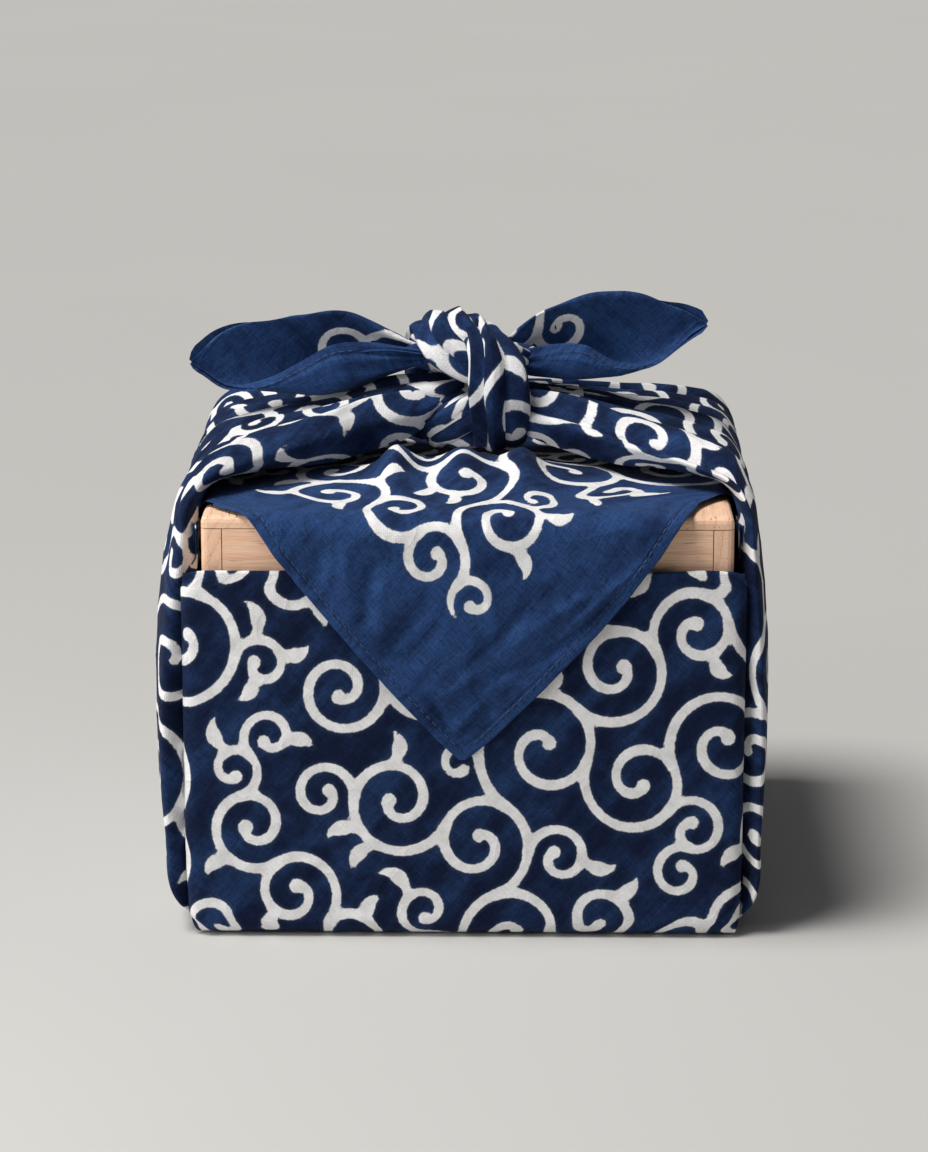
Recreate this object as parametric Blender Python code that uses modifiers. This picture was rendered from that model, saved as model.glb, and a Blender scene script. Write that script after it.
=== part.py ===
"""A furoshiki (square wrapping cloth) tied round a wooden box, in metres, +Z up.

The front faces -Y. The origin lies on the underside of the cloth, below the box's centre.
The cloth is one piece: a length that runs from the tuck at the front, under the box, up the
back, over the top and down the front as a pointed flap, and two ends that rise at the sides,
gather over the top and meet in a square knot with two free ears.
"""

import math

import bmesh
import bpy
import numpy as np
from mathutils import Vector

# ---------------------------------------------------------------- driving dimensions
BOX_WIDTH = 0.182  # along X: six sun
BOX_DEPTH = 0.182  # along Y
BOX_HEIGHT = 0.1475
BOX_FOOT = 0.0022  # height of the box's underside over the surface
BOARD = 0.007  # thickness of the four walls
LID = 0.0042  # thickness of lid and floor boards
EDGE_ROUND = 0.0022  # rounding of the box's outer edges
GAP = 0.0003  # between neighbouring boards

CLOTH = 0.0014  # thickness of the cloth's solid, two layers at its hems
FRONT_LINE = -0.0956  # Y of the front panel's middle surface
TUCK_LINE = -0.0930  # Y of the layer folded in behind it
BACK_LINE = 0.0948
FLAP_LINE = -0.0984  # Y of the flap in front of the panel
TOP_LINE = 0.1517  # Z of the cloth that lies on the lid
SOLE_LINE = 0.0007  # Z of the cloth under the box
FOLD_TOP = 0.1312  # height of the front panel's folded edge
TUCK_FOOT = 0.020  # how low the tucked layer reaches
FLAP_TIP = (-0.0032, 0.0663)  # X and Z of the flap's point
PANEL_LEFT, PANEL_RIGHT = 0.0975, 0.0945  # half widths of the front and back panels
SOLE_HALF = 0.0950
FOOT_IN = 0.0018  # how far the panels' edges draw in at the bottom
TUCK_HALF = 0.0880
TOP_HALF = 0.0930
EDGE_TURN = 0.0035  # radius at which a panel's side edges turn in
PANEL_SKIRT = 0.0042  # how far the front and back panels run on behind their turned edges
TOP_SKIRT = 0.012  # how far the top layer turns down over the side edges

# Ridges that the knot draws up in the top layer: across X, reach in X, height
RIDGES = (
    ("left", -0.026, 0.0100, 0.0065),
    ("middle", 0.004, 0.0080, 0.0030),
    ("right", 0.030, 0.0095, 0.0060),
)
RIDGE_CENTRE_Y, RIDGE_REACH_Y = -0.034, 0.028

# Sections of a side end, from the base to the throat of the knot. Each row gives four points
# of the front half: the lip that turns in, the fold, the start of the flat and the middle.
# Columns of a point: distance outward from the centre plane, Y, Z.
SIDE_SECTIONS = (
    ("base", (0.0916, -0.086, 0.0008), (0.0926, -0.0838, 0.0009), (0.094, -0.078, 0.001), (0.094, 0.0, 0.001)),
    ("foot", (0.0953, -0.086, 0.011), (0.0996, -0.0908, 0.01), (0.102, -0.08, 0.0095), (0.101, 0.0, 0.009)),
    ("low", (0.095, -0.0872, 0.038), (0.103, -0.0928, 0.037), (0.106, -0.083, 0.037), (0.107, 0.0, 0.037)),
    ("belly", (0.0955, -0.0872, 0.076), (0.104, -0.0935, 0.076), (0.108, -0.081, 0.076), (0.1092, 0.0, 0.076)),
    ("high", (0.0958, -0.0872, 0.112), (0.102, -0.0932, 0.113), (0.106, -0.082, 0.114), (0.1068, 0.0, 0.115)),
    ("brim", (0.0968, -0.082, 0.135), (0.1, -0.0888, 0.137), (0.1025, -0.077, 0.139), (0.1028, 0.0, 0.14)),
    ("edge", (0.0962, -0.075, 0.148), (0.098, -0.0825, 0.149), (0.0995, -0.072, 0.152), (0.0995, 0.0, 0.153)),
    ("bend", (0.0895, -0.067, 0.156), (0.092, -0.0745, 0.1565), (0.093, -0.064, 0.1605), (0.093, 0.0, 0.161)),
    ("slope", (0.074, -0.05, 0.1575), (0.077, -0.0595, 0.161), (0.077, -0.0505, 0.166), (0.077, 0.0, 0.1668)),
    ("gather", (0.052, -0.031, 0.16), (0.0545, -0.042, 0.1645), (0.0545, -0.035, 0.1695), (0.0545, 0.0, 0.17)),
    ("throat", (0.035, -0.011, 0.163), (0.036, -0.021, 0.168), (0.036, -0.015, 0.1725), (0.036, 0.0, 0.1727)),
    ("neck", (0.023, -0.003, 0.166), (0.023, -0.008, 0.17), (0.023, -0.006, 0.174), (0.023, 0.0, 0.1752)),
)
# The right end bulges a little less than the left.
RIGHT_BULGE = 0.68
PLEAT_SHARE = 0.30  # height of the fans' pleats, as a share of the distance between columns

# How the length's rows change shape on their way round the box
CORNER_DEPTH = 0.0060  # rows less than this below TOP_LINE belong to the top
SOLE_TOP = 0.0055  # rows below this height belong to the sole
FOOT_LOW, FOOT_REACH = 0.004, 0.022  # where the panels start to draw in to the foot, over what height
RIGHT_EXTRA = 0.0008  # added to the right half of the panels
LEAST_SKIRT = 0.0006  # skirt where a panel starts and ends
SKIRT_MARGIN, SKIRT_EASE = 0.010, 0.020  # a panel's skirt starts this far in and grows over this height
TOP_SKIRT_BACK, TOP_SKIRT_FRONT, TOP_SKIRT_EASE = 0.008, 0.074, 0.012  # the same for the top's skirt
TOP_EDGE_Y = 0.091  # the top's side edges start to turn down behind this Y at the front
HEM_REST = 0.0024  # half width at the flap's point
FLAP_LEAN = 0.09  # the stretch of the flap that leans to one side, towards its point

# The left strand through the square knot. The right one is it turned half round about Z.
# Columns: middle X, Y, Z, the outward direction, half width, half thickness.
STRAND = (
    ((-0.0420, 0.0000, 0.1712), (0.0, 0.0, 1.0), 0.0150, 0.0060),
    ((-0.0270, 0.0005, 0.1715), (0.0, 0.1, 1.0), 0.0110, 0.0080),
    ((-0.0130, 0.0030, 0.1708), (0.0, 0.5, 0.9), 0.0100, 0.0070),
    ((-0.0010, 0.0085, 0.1690), (0.0, 1.0, 0.0), 0.0105, 0.0065),
    ((0.0080, 0.0060, 0.1625), (0.2, 0.5, -0.8), 0.0105, 0.0062),
    ((0.0122, -0.0050, 0.1600), (0.2, -0.4, -0.9), 0.0110, 0.0060),
    ((0.0132, -0.0140, 0.1665), (0.3, -0.9, -0.4), 0.0115, 0.0062),
    ((0.0128, -0.0178, 0.1790), (0.2, -1.0, 0.0), 0.0118, 0.0064),
    ((0.0120, -0.0145, 0.1915), (0.2, -0.8, 0.5), 0.0112, 0.0064),
    ((0.0100, -0.0045, 0.1988), (0.2, -0.1, 1.0), 0.0108, 0.0062),
    ((0.0050, 0.0065, 0.1965), (0.0, 0.7, 0.7), 0.0105, 0.0062),
    ((-0.0020, 0.0100, 0.1905), (0.0, 1.0, 0.0), 0.0100, 0.0065),
    ((-0.0130, 0.0045, 0.1885), (0.0, 0.6, -0.6), 0.0085, 0.0070),
    ((-0.0250, 0.0000, 0.1885), (0.0, 0.0, -1.0), 0.0070, 0.0078),
    ((-0.0330, 0.0000, 0.1888), (0.0, 0.0, -1.0), 0.0055, 0.0085),
)

STRAND_SHIFT = (0.0004, -0.0003, 0.0003)  # the right strand lies this much off true symmetry

# Sections of the two ears, from the knot to the point. Columns: X, height of the back hem,
# of the front hem and of the bottom fold, depth of the pocket between the two layers.
LEFT_EAR = (
    ("root", -0.0225, 0.1955, 0.1945, 0.1825, 0.0090),
    ("swell", -0.0390, 0.2030, 0.1925, 0.1765, 0.0150),
    ("full", -0.0550, 0.2035, 0.1865, 0.1738, 0.0160),
    ("narrow", -0.0700, 0.2010, 0.1800, 0.1738, 0.0120),
    ("curl", -0.0830, 0.1965, 0.1795, 0.1760, 0.0075),
    ("point", -0.0930, 0.1920, 0.1845, 0.1812, 0.0050),
    ("tip", -0.1005, 0.1892, 0.1875, 0.1855, 0.0038),
)
RIGHT_EAR = (
    ("root", 0.0205, 0.1960, 0.1950, 0.1825, 0.0090),
    ("swell", 0.0310, 0.2040, 0.1940, 0.1800, 0.0145),
    ("full", 0.0430, 0.2105, 0.1895, 0.1790, 0.0160),
    ("narrow", 0.0550, 0.2118, 0.1865, 0.1810, 0.0130),
    ("curl", 0.0670, 0.2090, 0.1905, 0.1870, 0.0080),
    ("point", 0.0775, 0.2060, 0.1970, 0.1940, 0.0050),
    ("tip", 0.0845, 0.2034, 0.2017, 0.1997, 0.0038),
)

FLAT_SHARES = (0.08, 0.16, 0.25, 0.34, 0.45, 0.62, 0.81, 1.0)
SIDE_COLUMNS = 17
STRAND_SIDES = 12
STRAND_ROWS = 33
EAR_COLUMNS = 9
EAR_ROWS = 11

INDIGO = (0.020, 0.055, 0.145)
PINE = (0.66, 0.44, 0.27)


# ---------------------------------------------------------------- scene helpers
def clear_scene():
    for obj in list(bpy.data.objects):
        bpy.data.objects.remove(obj, do_unlink=True)


def make_collection(name, hidden=False):
    collection = bpy.data.collections.new(name)
    collection.hide_render = hidden
    bpy.context.scene.collection.children.link(collection)
    return collection


def make_material(name, color, roughness):
    material = bpy.data.materials.new(name)
    material.use_nodes = True
    shader = material.node_tree.nodes["Principled BSDF"]
    shader.inputs["Base Color"].default_value = (*color, 1.0)
    shader.inputs["Roughness"].default_value = roughness
    shader.inputs["Metallic"].default_value = 0.0
    return material


def add_object(name, mesh, collection, material):
    obj = bpy.data.objects.new(name, mesh)
    obj.data.materials.append(material)
    collection.objects.link(obj)
    return obj


# ---------------------------------------------------------------- curves and lofts
def spline(knots, values, at):
    """Cubic curve through values at increasing knots, with slopes from their neighbours."""
    knots, values, at = (np.asarray(x, float) for x in (knots, values, at))
    slopes = np.gradient(values, knots, axis=0)
    low = np.clip(np.searchsorted(knots, at, side="right") - 1, 0, len(knots) - 2)
    span = (knots[low + 1] - knots[low]).reshape((-1,) + (1,) * (values.ndim - 1))
    t = ((at - knots[low]).reshape(span.shape)) / span
    return (
        values[low] * (2 * t**3 - 3 * t**2 + 1)
        + values[low + 1] * (3 * t**2 - 2 * t**3)
        + slopes[low] * span * (t**3 - 2 * t**2 + t)
        + slopes[low + 1] * span * (t**3 - t**2)
    )


def rounded_path(corners, steps):
    """Points of a line through (Y, Z, radius, points on the run before) corners, arcs at each."""
    points = [np.array(corners[0][:2])]
    for before, corner, after in zip(corners, corners[1:], corners[2:]):
        a, b, c = (np.array(p[:2]) for p in (before, corner, after))
        inward, outward = (a - b) / np.linalg.norm(a - b), (c - b) / np.linalg.norm(c - b)
        half = math.acos(float(np.clip(inward @ outward, -1, 1))) / 2
        reach = corner[2] / math.tan(half)
        centre = b + (inward + outward) / np.linalg.norm(inward + outward) * corner[2] / math.sin(half)
        start, end = b + inward * reach, b + outward * reach
        last = points[-1]
        points += [last + (start - last) * k / corner[3] for k in range(1, corner[3])]
        for k in range(steps + 1):
            spoke = (start - centre) * (1 - k / steps) + (end - centre) * (k / steps)
            points.append(centre + spoke / np.linalg.norm(spoke) * corner[2])
    last, end = points[-1], np.array(corners[-1][:2])
    points += [last + (end - last) * k / corners[-1][3] for k in range(1, corners[-1][3] + 1)]
    return np.array(points)


def grid_mesh(name, points, wrap=False, flip=False):
    """A quad mesh over a (rows, columns, 3) grid. With wrap the columns close into a capped tube."""
    rows, columns = points.shape[:2]
    mesh = bmesh.new()
    verts = [[mesh.verts.new(p) for p in row] for row in points]
    for i in range(rows - 1):
        for j in range(columns if wrap else columns - 1):
            k = (j + 1) % columns
            quad = (verts[i][j], verts[i][k], verts[i + 1][k], verts[i + 1][j])
            mesh.faces.new(quad[::-1] if flip else quad)
    if wrap:
        mesh.faces.new(verts[0][::-1] if not flip else verts[0])
        mesh.faces.new(verts[-1] if not flip else verts[-1][::-1])
    data = bpy.data.meshes.new(name)
    mesh.to_mesh(data)
    mesh.free()
    return data


def solid_sheet(name, points, collection, material, flip=False):
    """A sheet of the cloth's thickness, half on each side of the grid."""
    sheet = add_object(name, grid_mesh(name, points, flip=flip), collection, material)
    thick = sheet.modifiers.new("Thickness", "SOLIDIFY")
    thick.thickness = CLOTH
    thick.offset = 0.0
    thick.use_even_offset = False
    return sheet


# ---------------------------------------------------------------- the cloth's length
def across(half, radius, skirt, hem, turn):
    """Across the length, outward: flat, then round an edge, then a skirt, cut short at hem.

    turn is 0 where the edge stays flat and 1 where it is fully turned. It returns each point's
    distance from the middle and its depth below the surface.
    """
    flat = half - radius
    inner = np.array(FLAT_SHARES) * min(flat, hem - 0.0016)
    quarter = radius * math.pi / 2
    planned = np.concatenate([quarter * np.array([1, 2, 3]) / 3, [quarter + skirt]])
    run = np.concatenate([inner, inner[-1] + planned * min(1.0, (hem - inner[-1]) / planned[-1])])
    past = np.clip(run - flat, 0, None)
    bend = np.clip(past / radius, 0, math.pi / 2)
    beyond = np.clip(past - quarter, 0, None)
    flat_out = run - past + np.minimum(past, quarter) * 0.64 + beyond
    out = run - past + radius * np.sin(bend)
    depth = radius * (1 - np.cos(bend)) + beyond
    return flat_out + (out - flat_out) * turn, depth * turn


def length_path():
    """The middle line of the cloth's length in Y and Z, from the tuck to the flap's point."""
    path = rounded_path(
        (
            (TUCK_LINE, TUCK_FOOT, 0.0, 1),
            (TUCK_LINE, FOLD_TOP, 0.00112, 3),
            (FRONT_LINE, FOLD_TOP, 0.00112, 1),
            (FRONT_LINE, SOLE_LINE, 0.0050, 4),
            (BACK_LINE, SOLE_LINE, 0.0050, 3),
            (BACK_LINE, TOP_LINE, 0.0050, 4),
            (FLAP_LINE, TOP_LINE, 0.0058, 12),
            (FLAP_LINE, FLAP_TIP[1], 0.0, 6),
        ),
        3,
    )
    after_fold = int(np.argmax(path[:, 0] <= FRONT_LINE + 1e-6)) + 1
    path = np.insert(path, after_fold, (FRONT_LINE, FOLD_TOP - 0.0070), axis=0)
    on_top = path[:, 1] >= TOP_LINE - 1e-6
    near_front = int(np.flatnonzero(on_top & (path[:, 0] < -0.085))[0])
    return np.insert(path, near_front, (-0.0850, TOP_LINE), axis=0)


def length_grid():
    """The cloth from the tuck, under the box, over it and down to the flap's point."""
    path = length_path()
    step = np.linalg.norm(np.diff(path, axis=0), axis=1)
    to_tip = step.sum() - np.concatenate([[0], np.cumsum(step)])
    tangent = np.gradient(path, axis=0)
    tangent /= np.linalg.norm(tangent, axis=1)[:, None]
    rows = []
    for (y, z), (ty, tz), left in zip(path, tangent, to_tip):
        on_top = z > TOP_LINE - CORNER_DEPTH
        on_flap = y < FRONT_LINE - LEAST_SKIRT
        under = z < SOLE_TOP
        drawn = FOOT_IN * (1 - min(max(z - FOOT_LOW, 0.0) / FOOT_REACH, 1.0)) ** 2
        halves, turn = (PANEL_LEFT - drawn, PANEL_RIGHT + RIGHT_EXTRA - drawn), 1.0
        from_ends = min(z - SKIRT_MARGIN, FOLD_TOP - SKIRT_MARGIN - z)
        skirt = LEAST_SKIRT + PANEL_SKIRT * float(np.clip(from_ends / SKIRT_EASE, 0, 1))
        if under:
            halves, turn = (SOLE_HALF, SOLE_HALF), 0.0
        elif on_top or on_flap:
            from_ends = min(BACK_LINE - TOP_SKIRT_BACK - y, y + TOP_SKIRT_FRONT)
            skirt = LEAST_SKIRT + TOP_SKIRT * float(np.clip(from_ends / TOP_SKIRT_EASE, 0, 1))
            halves, turn = (TOP_HALF, TOP_HALF), float(np.clip((y + TOP_EDGE_Y) / TOP_SKIRT_EASE, 0, 1))
        elif y > FRONT_LINE + 1e-6 and y < 0.0:
            halves, turn = (TUCK_HALF, TUCK_HALF), 0.0
        elif z > FOLD_TOP - 0.004 and y < 0.0:
            halves, turn = (TUCK_HALF + 0.005, TUCK_HALF + 0.005), 0.0
        row = []
        for side, half in ((-1, halves[0]), (1, halves[1])):
            out, depth = across(half, EDGE_TURN, skirt, max(left, 0.0) + HEM_REST, turn)
            lean = np.zeros(len(out)) + (FLAP_TIP[0] * (1 - left / FLAP_LEAN) if on_flap else 0.0)
            points = np.stack([side * out + lean, y - depth * tz, z + depth * ty], axis=1)
            row.append(points[::-1] if side < 0 else points)
        middle = np.array([[row[0][-1][0] / 2 + row[1][0][0] / 2, y, z]])
        rows.append(np.concatenate([row[0], middle, row[1]]))
    return lift_ridges(np.array(rows))


def lift_ridges(grid):
    """Draws the top layer up in soft ridges in front of the knot."""
    x, y, z = grid[..., 0], grid[..., 1], grid[..., 2]
    on_top = np.clip((z - (TOP_LINE - 0.002)) / 0.002, 0, 1)
    fade = np.exp(-(((y - RIDGE_CENTRE_Y) / RIDGE_REACH_Y) ** 2)) * on_top
    for _, place, reach, height in RIDGES:
        grid[..., 2] = grid[..., 2] + height * fade * np.exp(-(((x - place) / reach) ** 2))
    return grid


# ---------------------------------------------------------------- the cloth's two ends
def section(lip, fold, near, middle, side, columns):
    """One section of an end, from its front lip over the middle to its back lip."""
    between = (0.5 * (near[0] + middle[0]), 0.5 * near[1], 0.5 * (near[2] + middle[2]))
    half = np.array([lip, fold, near, between])
    back = half[::-1] * (1, -1, 1)
    points = np.concatenate([half, [middle], back]) * (side, 1, 1)
    places = [-1.0, -0.92, -0.80, -0.40, 0.0, 0.40, 0.80, 0.92, 1.0]
    return spline(places, points, columns)


def side_grid(side):
    """Side wall, shoulder and fan of one end. side is -1 at the left and 1 at the right."""
    flats = np.linspace(-0.80, 0.80, SIDE_COLUMNS - 8)
    columns = np.concatenate([[-1.0, -0.96, -0.92, -0.86], flats, [0.86, 0.92, 0.96, 1.0]])
    bulge = 1.0 if side < 0 else RIGHT_BULGE
    stations = []
    for _, *points in SIDE_SECTIONS:
        rest = 0.0955
        eased = [((rest + (p[0] - rest) * bulge if p[0] > rest else p[0]), p[1], p[2]) for p in points]
        stations.append(section(*eased, side, columns))
    stations = np.array(stations)
    middle = stations[:, len(columns) // 2]
    along = np.concatenate([[0], np.cumsum(np.linalg.norm(np.diff(middle, axis=0), axis=1))])
    at = np.sort(np.concatenate([along, (along[1:] + along[:-1]) / 2]))
    grid = spline(along, stations, at)
    brim, slope, neck = along[5], along[8], along[-1]
    rise = np.clip((at - brim) / (slope - brim), 0, 1) * np.clip((neck - at) / 0.02, 0, 1)
    spacing = np.linalg.norm(grid[:, 2:] - grid[:, :-2], axis=2) / 2
    zigzag = np.where(np.arange(1, len(columns) - 1) % 2 == 0, 1.0, -1.0)
    zigzag[:2] = zigzag[-2:] = 0.0
    grid[:, 1:-1, 2] += PLEAT_SHARE * rise[:, None] * spacing * zigzag
    return grid


def strand_grid(side):
    """A closed tube along one end's way through the knot: ellipses on the strand's own frame."""
    turn = np.array([1, 1, 1]) if side < 0 else np.array([-1, -1, 1])
    middles = np.array([row[0] for row in STRAND]) * turn + (STRAND_SHIFT if side > 0 else 0.0)
    outward = np.array([row[1] for row in STRAND]) * turn
    sizes = np.array([row[2:] for row in STRAND])
    along = np.concatenate([[0], np.cumsum(np.linalg.norm(np.diff(middles, axis=0), axis=1))])
    at = np.linspace(0, along[-1], STRAND_ROWS)
    centre, normal, size = (spline(along, v, at) for v in (middles, outward, sizes))
    tangent = np.gradient(centre, axis=0)
    tangent /= np.linalg.norm(tangent, axis=1)[:, None]
    normal -= (normal * tangent).sum(1)[:, None] * tangent
    normal /= np.linalg.norm(normal, axis=1)[:, None]
    width = np.cross(normal, tangent)
    angle = np.arange(STRAND_SIDES) / STRAND_SIDES * 2 * math.pi
    return (
        centre[:, None]
        + width[:, None] * (size[:, 0, None] * np.sin(angle))[..., None]
        + normal[:, None] * (size[:, 1, None] * np.cos(angle))[..., None]
    )


def ear_grid(rows):
    """An ear as a leaf folded along its bottom: a short front layer and a tall back layer."""
    columns = np.linspace(-1, 1, EAR_COLUMNS)
    places = [-1.0, -0.65, -0.30, 0.10, 0.55, 1.0]
    stations = []
    for _, x, back_top, front_top, bottom, depth in rows:
        rise = back_top - bottom
        points = [
            (x, -depth * 0.50, front_top),
            (x, -depth * 0.62, bottom + (front_top - bottom) * 0.50),
            (x, -depth * 0.05, bottom),
            (x, depth * 0.50, bottom + rise * 0.30),
            (x, depth * 0.52, bottom + rise * 0.65),
            (x, depth * 0.25, back_top),
        ]
        stations.append(spline(places, points, columns))
    along = np.array([abs(row[1]) for row in rows])
    return spline(along, np.array(stations), np.linspace(along[0], along[-1], EAR_ROWS))


# ---------------------------------------------------------------- the pieces
def make_furoshiki(collection, helpers, material):
    """The whole cloth: its length, with both ends, strands and ears joined on as one solid."""
    cloth = solid_sheet("furoshiki", length_grid(), collection, material)
    for side, word, ear in ((-1, "left", LEFT_EAR), (1, "right", RIGHT_EAR)):
        end = solid_sheet(f"{word}_end", side_grid(side), helpers, material, flip=side > 0)
        leaf = solid_sheet(f"{word}_ear", ear_grid(ear), helpers, material, flip=side > 0)
        tube = grid_mesh(f"{word}_strand", strand_grid(side), wrap=True)
        strand = add_object(f"{word}_strand", tube, helpers, material)
        for piece in (end, strand, leaf):
            piece.hide_render = True
            piece.display_type = "WIRE"
            piece.modifiers.new("Triangles", "TRIANGULATE")
    cloth.modifiers.new("Triangles", "TRIANGULATE")
    join = cloth.modifiers.new("Join ends, strands and ears", "BOOLEAN")
    join.operation = "UNION"
    join.solver = "EXACT"
    join.operand_type = "COLLECTION"
    join.collection = helpers
    join.use_self = True
    return cloth


def make_board(name, low, high, rounded, collection, material):
    """A board between two corners, its listed outer edges rounded with Bevel.

    rounded holds pairs of signs (X, Y, Z, 0 where an edge runs) of the edges to round.
    """
    low, high = Vector(low), Vector(high)
    data = bpy.data.meshes.new(name)
    mesh = bmesh.new()
    bmesh.ops.create_cube(mesh, size=1.0)
    size = high - low
    for vert in mesh.verts:
        vert.co = Vector([vert.co[k] * size[k] for k in range(3)])
    weight = mesh.edges.layers.float.new("bevel_weight_edge")
    for edge in mesh.edges:
        middle = (edge.verts[0].co + edge.verts[1].co) / 2
        signs = tuple(0 if abs(c) < 1e-6 else int(math.copysign(1, c)) for c in middle)
        edge[weight] = 1.0 if signs in rounded else 0.0
    mesh.to_mesh(data)
    mesh.free()
    board = add_object(name, data, collection, material)
    board.location = (low + high) / 2
    bevel = board.modifiers.new("Rounded edges", "BEVEL")
    bevel.limit_method = "WEIGHT"
    bevel.width = EDGE_ROUND
    bevel.segments = 3
    return board


def make_box(collection, material):
    """Two side boards over the full depth, front and back between them, a floor and a lid."""
    x, y = BOX_WIDTH / 2, BOX_DEPTH / 2
    foot, top = BOX_FOOT, BOX_FOOT + BOX_HEIGHT
    under_lid, over_floor = top - LID - GAP, foot + LID + GAP
    rim = {(0, -1, 1), (0, 1, 1), (-1, 0, 1), (1, 0, 1), (-1, -1, 0), (1, -1, 0), (-1, 1, 0), (1, 1, 0)}
    base = {(sx, sy, -sz if sz else 0) for sx, sy, sz in rim}
    make_board("box_lid", (-x, -y, top - LID), (x, y, top), rim, collection, material)
    make_board("box_floor", (-x, -y, foot), (x, y, foot + LID), base, collection, material)
    for side, word in ((-1, "left"), (1, "right")):
        ends = sorted((side * x, side * (x - BOARD)))
        corners = {(side, -1, 0), (side, 1, 0)}
        low, high = (ends[0], -y, over_floor), (ends[1], y, under_lid)
        make_board(f"box_{word}_wall", low, high, corners, collection, material)
    inner = x - BOARD - GAP
    for word, front, back in (("front", -y, BOARD - y), ("back", y - BOARD, y)):
        low, high = (-inner, front, over_floor), (inner, back, under_lid)
        make_board(f"box_{word}_wall", low, high, set(), collection, material)


def main():
    clear_scene()
    parts = make_collection("Furoshiki wrapped box")
    helpers = make_collection("Joined into the cloth", hidden=True)
    cotton = make_material("indigo cotton", INDIGO, 0.85)
    wood = make_material("pine", PINE, 0.6)
    make_box(parts, wood)
    make_furoshiki(parts, helpers, cotton)


main()
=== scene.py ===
"""Furoshiki wrap: a square indigo cloth with a white vine print, tied round a pine box.

The cloth is one sheet, about 70 cm square, worked out as numpy surfaces: its length (tucked at
the front, under the box, up the back, over the top and down as a pointed flap), the two ends
(side walls that gather into pleated fans), the strands through the square knot, the two free
ears, and the gussets folded away behind the corners. Every point of those surfaces also has a
place on the flat cloth, and the vine print is drawn there. The cloth is worked out in
millimetres and turned into metres as its meshes are made; the stage is in metres. The front
faces -Y.
"""

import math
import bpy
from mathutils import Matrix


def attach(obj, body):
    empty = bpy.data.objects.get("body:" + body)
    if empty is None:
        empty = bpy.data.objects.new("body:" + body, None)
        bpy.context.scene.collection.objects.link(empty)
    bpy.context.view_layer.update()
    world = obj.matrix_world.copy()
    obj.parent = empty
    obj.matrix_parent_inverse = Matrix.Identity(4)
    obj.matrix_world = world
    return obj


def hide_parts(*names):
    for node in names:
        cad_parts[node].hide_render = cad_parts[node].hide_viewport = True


bl_info = {
    "name": "Furoshiki Wrap",
    "version": (1, 0, 0),
    "blender": (4, 5, 0),
    "location": "3D View > Sidebar > Furoshiki",
    "description": "Dresses a tied square wrapping cloth and its wooden box",
    "category": "Object",
}

import bpy
import numpy as np
from bpy.props import FloatProperty, FloatVectorProperty, IntProperty, PointerProperty
from bpy.types import Operator, Panel, PropertyGroup

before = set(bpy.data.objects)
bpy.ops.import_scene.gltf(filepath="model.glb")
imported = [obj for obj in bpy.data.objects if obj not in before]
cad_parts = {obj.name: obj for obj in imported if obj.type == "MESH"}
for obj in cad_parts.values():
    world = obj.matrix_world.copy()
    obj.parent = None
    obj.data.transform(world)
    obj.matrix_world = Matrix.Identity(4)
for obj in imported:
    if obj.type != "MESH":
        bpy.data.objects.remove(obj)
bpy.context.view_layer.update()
MM = 0.001

# ---------------------------------------------------------------- the cloth's shape, in mm
HALF_DIAGONAL = 495.0  # of the flat square
BORDER = 29.0  # plain border along the hems

# The length in profile. Columns: Y, Z, radius of the turn there, spacing of rows after it.
LENGTH_ROUTE = (
    ("corner, folded in", -92.0, 18.0, 0.0, 9.0),
    ("inner fold", -92.0, 112.0, 0.44, 1.0),
    ("inner fold, far side", -92.9, 112.0, 0.44, 9.0),
    ("foot of the tuck", -92.9, 24.0, 0.48, 1.0),
    ("foot of the tuck, far side", -93.9, 24.0, 0.48, 9.0),
    ("front fold", -93.9, 131.4, 0.84, 1.0),
    ("front fold, outside", -95.6, 131.4, 0.84, 1.6),
    ("front foot", -95.6, 0.6, 5.5, 6.0),
    ("back foot", 94.8, 0.6, 5.5, 2.3),
    ("back top", 94.8, 151.7, 5.5, 2.0),
    ("front top", -98.7, 151.7, 6.2, 1.5),
    ("flap's point", -97.0, 65.2, 0.0, 0.0),
)
FRONT_LEG, FLOOR_LEG, BACK_LEG, TOP_LEG, FLAP_LEG = 6, 7, 8, 9, 10  # rows of the route
SMALL_TURN, SMALL_TURN_ROWS, TURN_ROWS = 2.0, 6, 9  # a radius below the first gets fewer rows
FLAT_CELLS, EDGE_CELLS, SKIRT_CELLS = 60, 8, 3  # across a half: flat, round the edge, past it
COARSE = 4  # columns taken together where the length is out of sight
SEAM_ROWS = 9  # rows between a bend and the place where the columns change
# Half widths of the folded-in layers against Z, widest at the fold
TUCK_HALVES = ((24.0, 60.0), (112.0, 84.0), (131.4, 90.0))
CORNER_NARROWER = 14.0  # how much less the first leg is wide
PANEL_LEFT, PANEL_RIGHT, FLOOR_HALF = 98.2, 95.6, 92.4
PANEL_TURN, PANEL_SKIRT = 5.0, 2.6  # radius of the panels' turned side edges, and the run past it
# The hems of top and flap: distance from the point, left edge X, right edge X
FLAP_HEMS = (
    (0.0, -2.6, -0.6),
    (8.0, -10.6, 8.6),
    (26.0, -26.9, 26.2),
    (46.0, -43.9, 44.6),
    (60.0, -55.4, 56.0),
    (73.0, -65.6, 65.8),
    (84.0, -72.6, 72.4),
    (88.0, -75.4, 74.6),
    (92.0, -78.6, 76.0),
    (100.0, -85.4, 77.8),
    (106.0, -90.4, 80.0),
    (113.0, -97.0, 84.0),
    (121.0, -106.0, 90.4),
    (134.0, -106.0, 106.0),
    (300.0, -106.0, 106.0),
)
TOP_HALF, TOP_TURN, TOP_SKIRT = 92.6, 4.0, 11.0
HEMMED_LENGTH = 104.0  # of the flap, from its point: the part whose hems are turned
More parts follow.
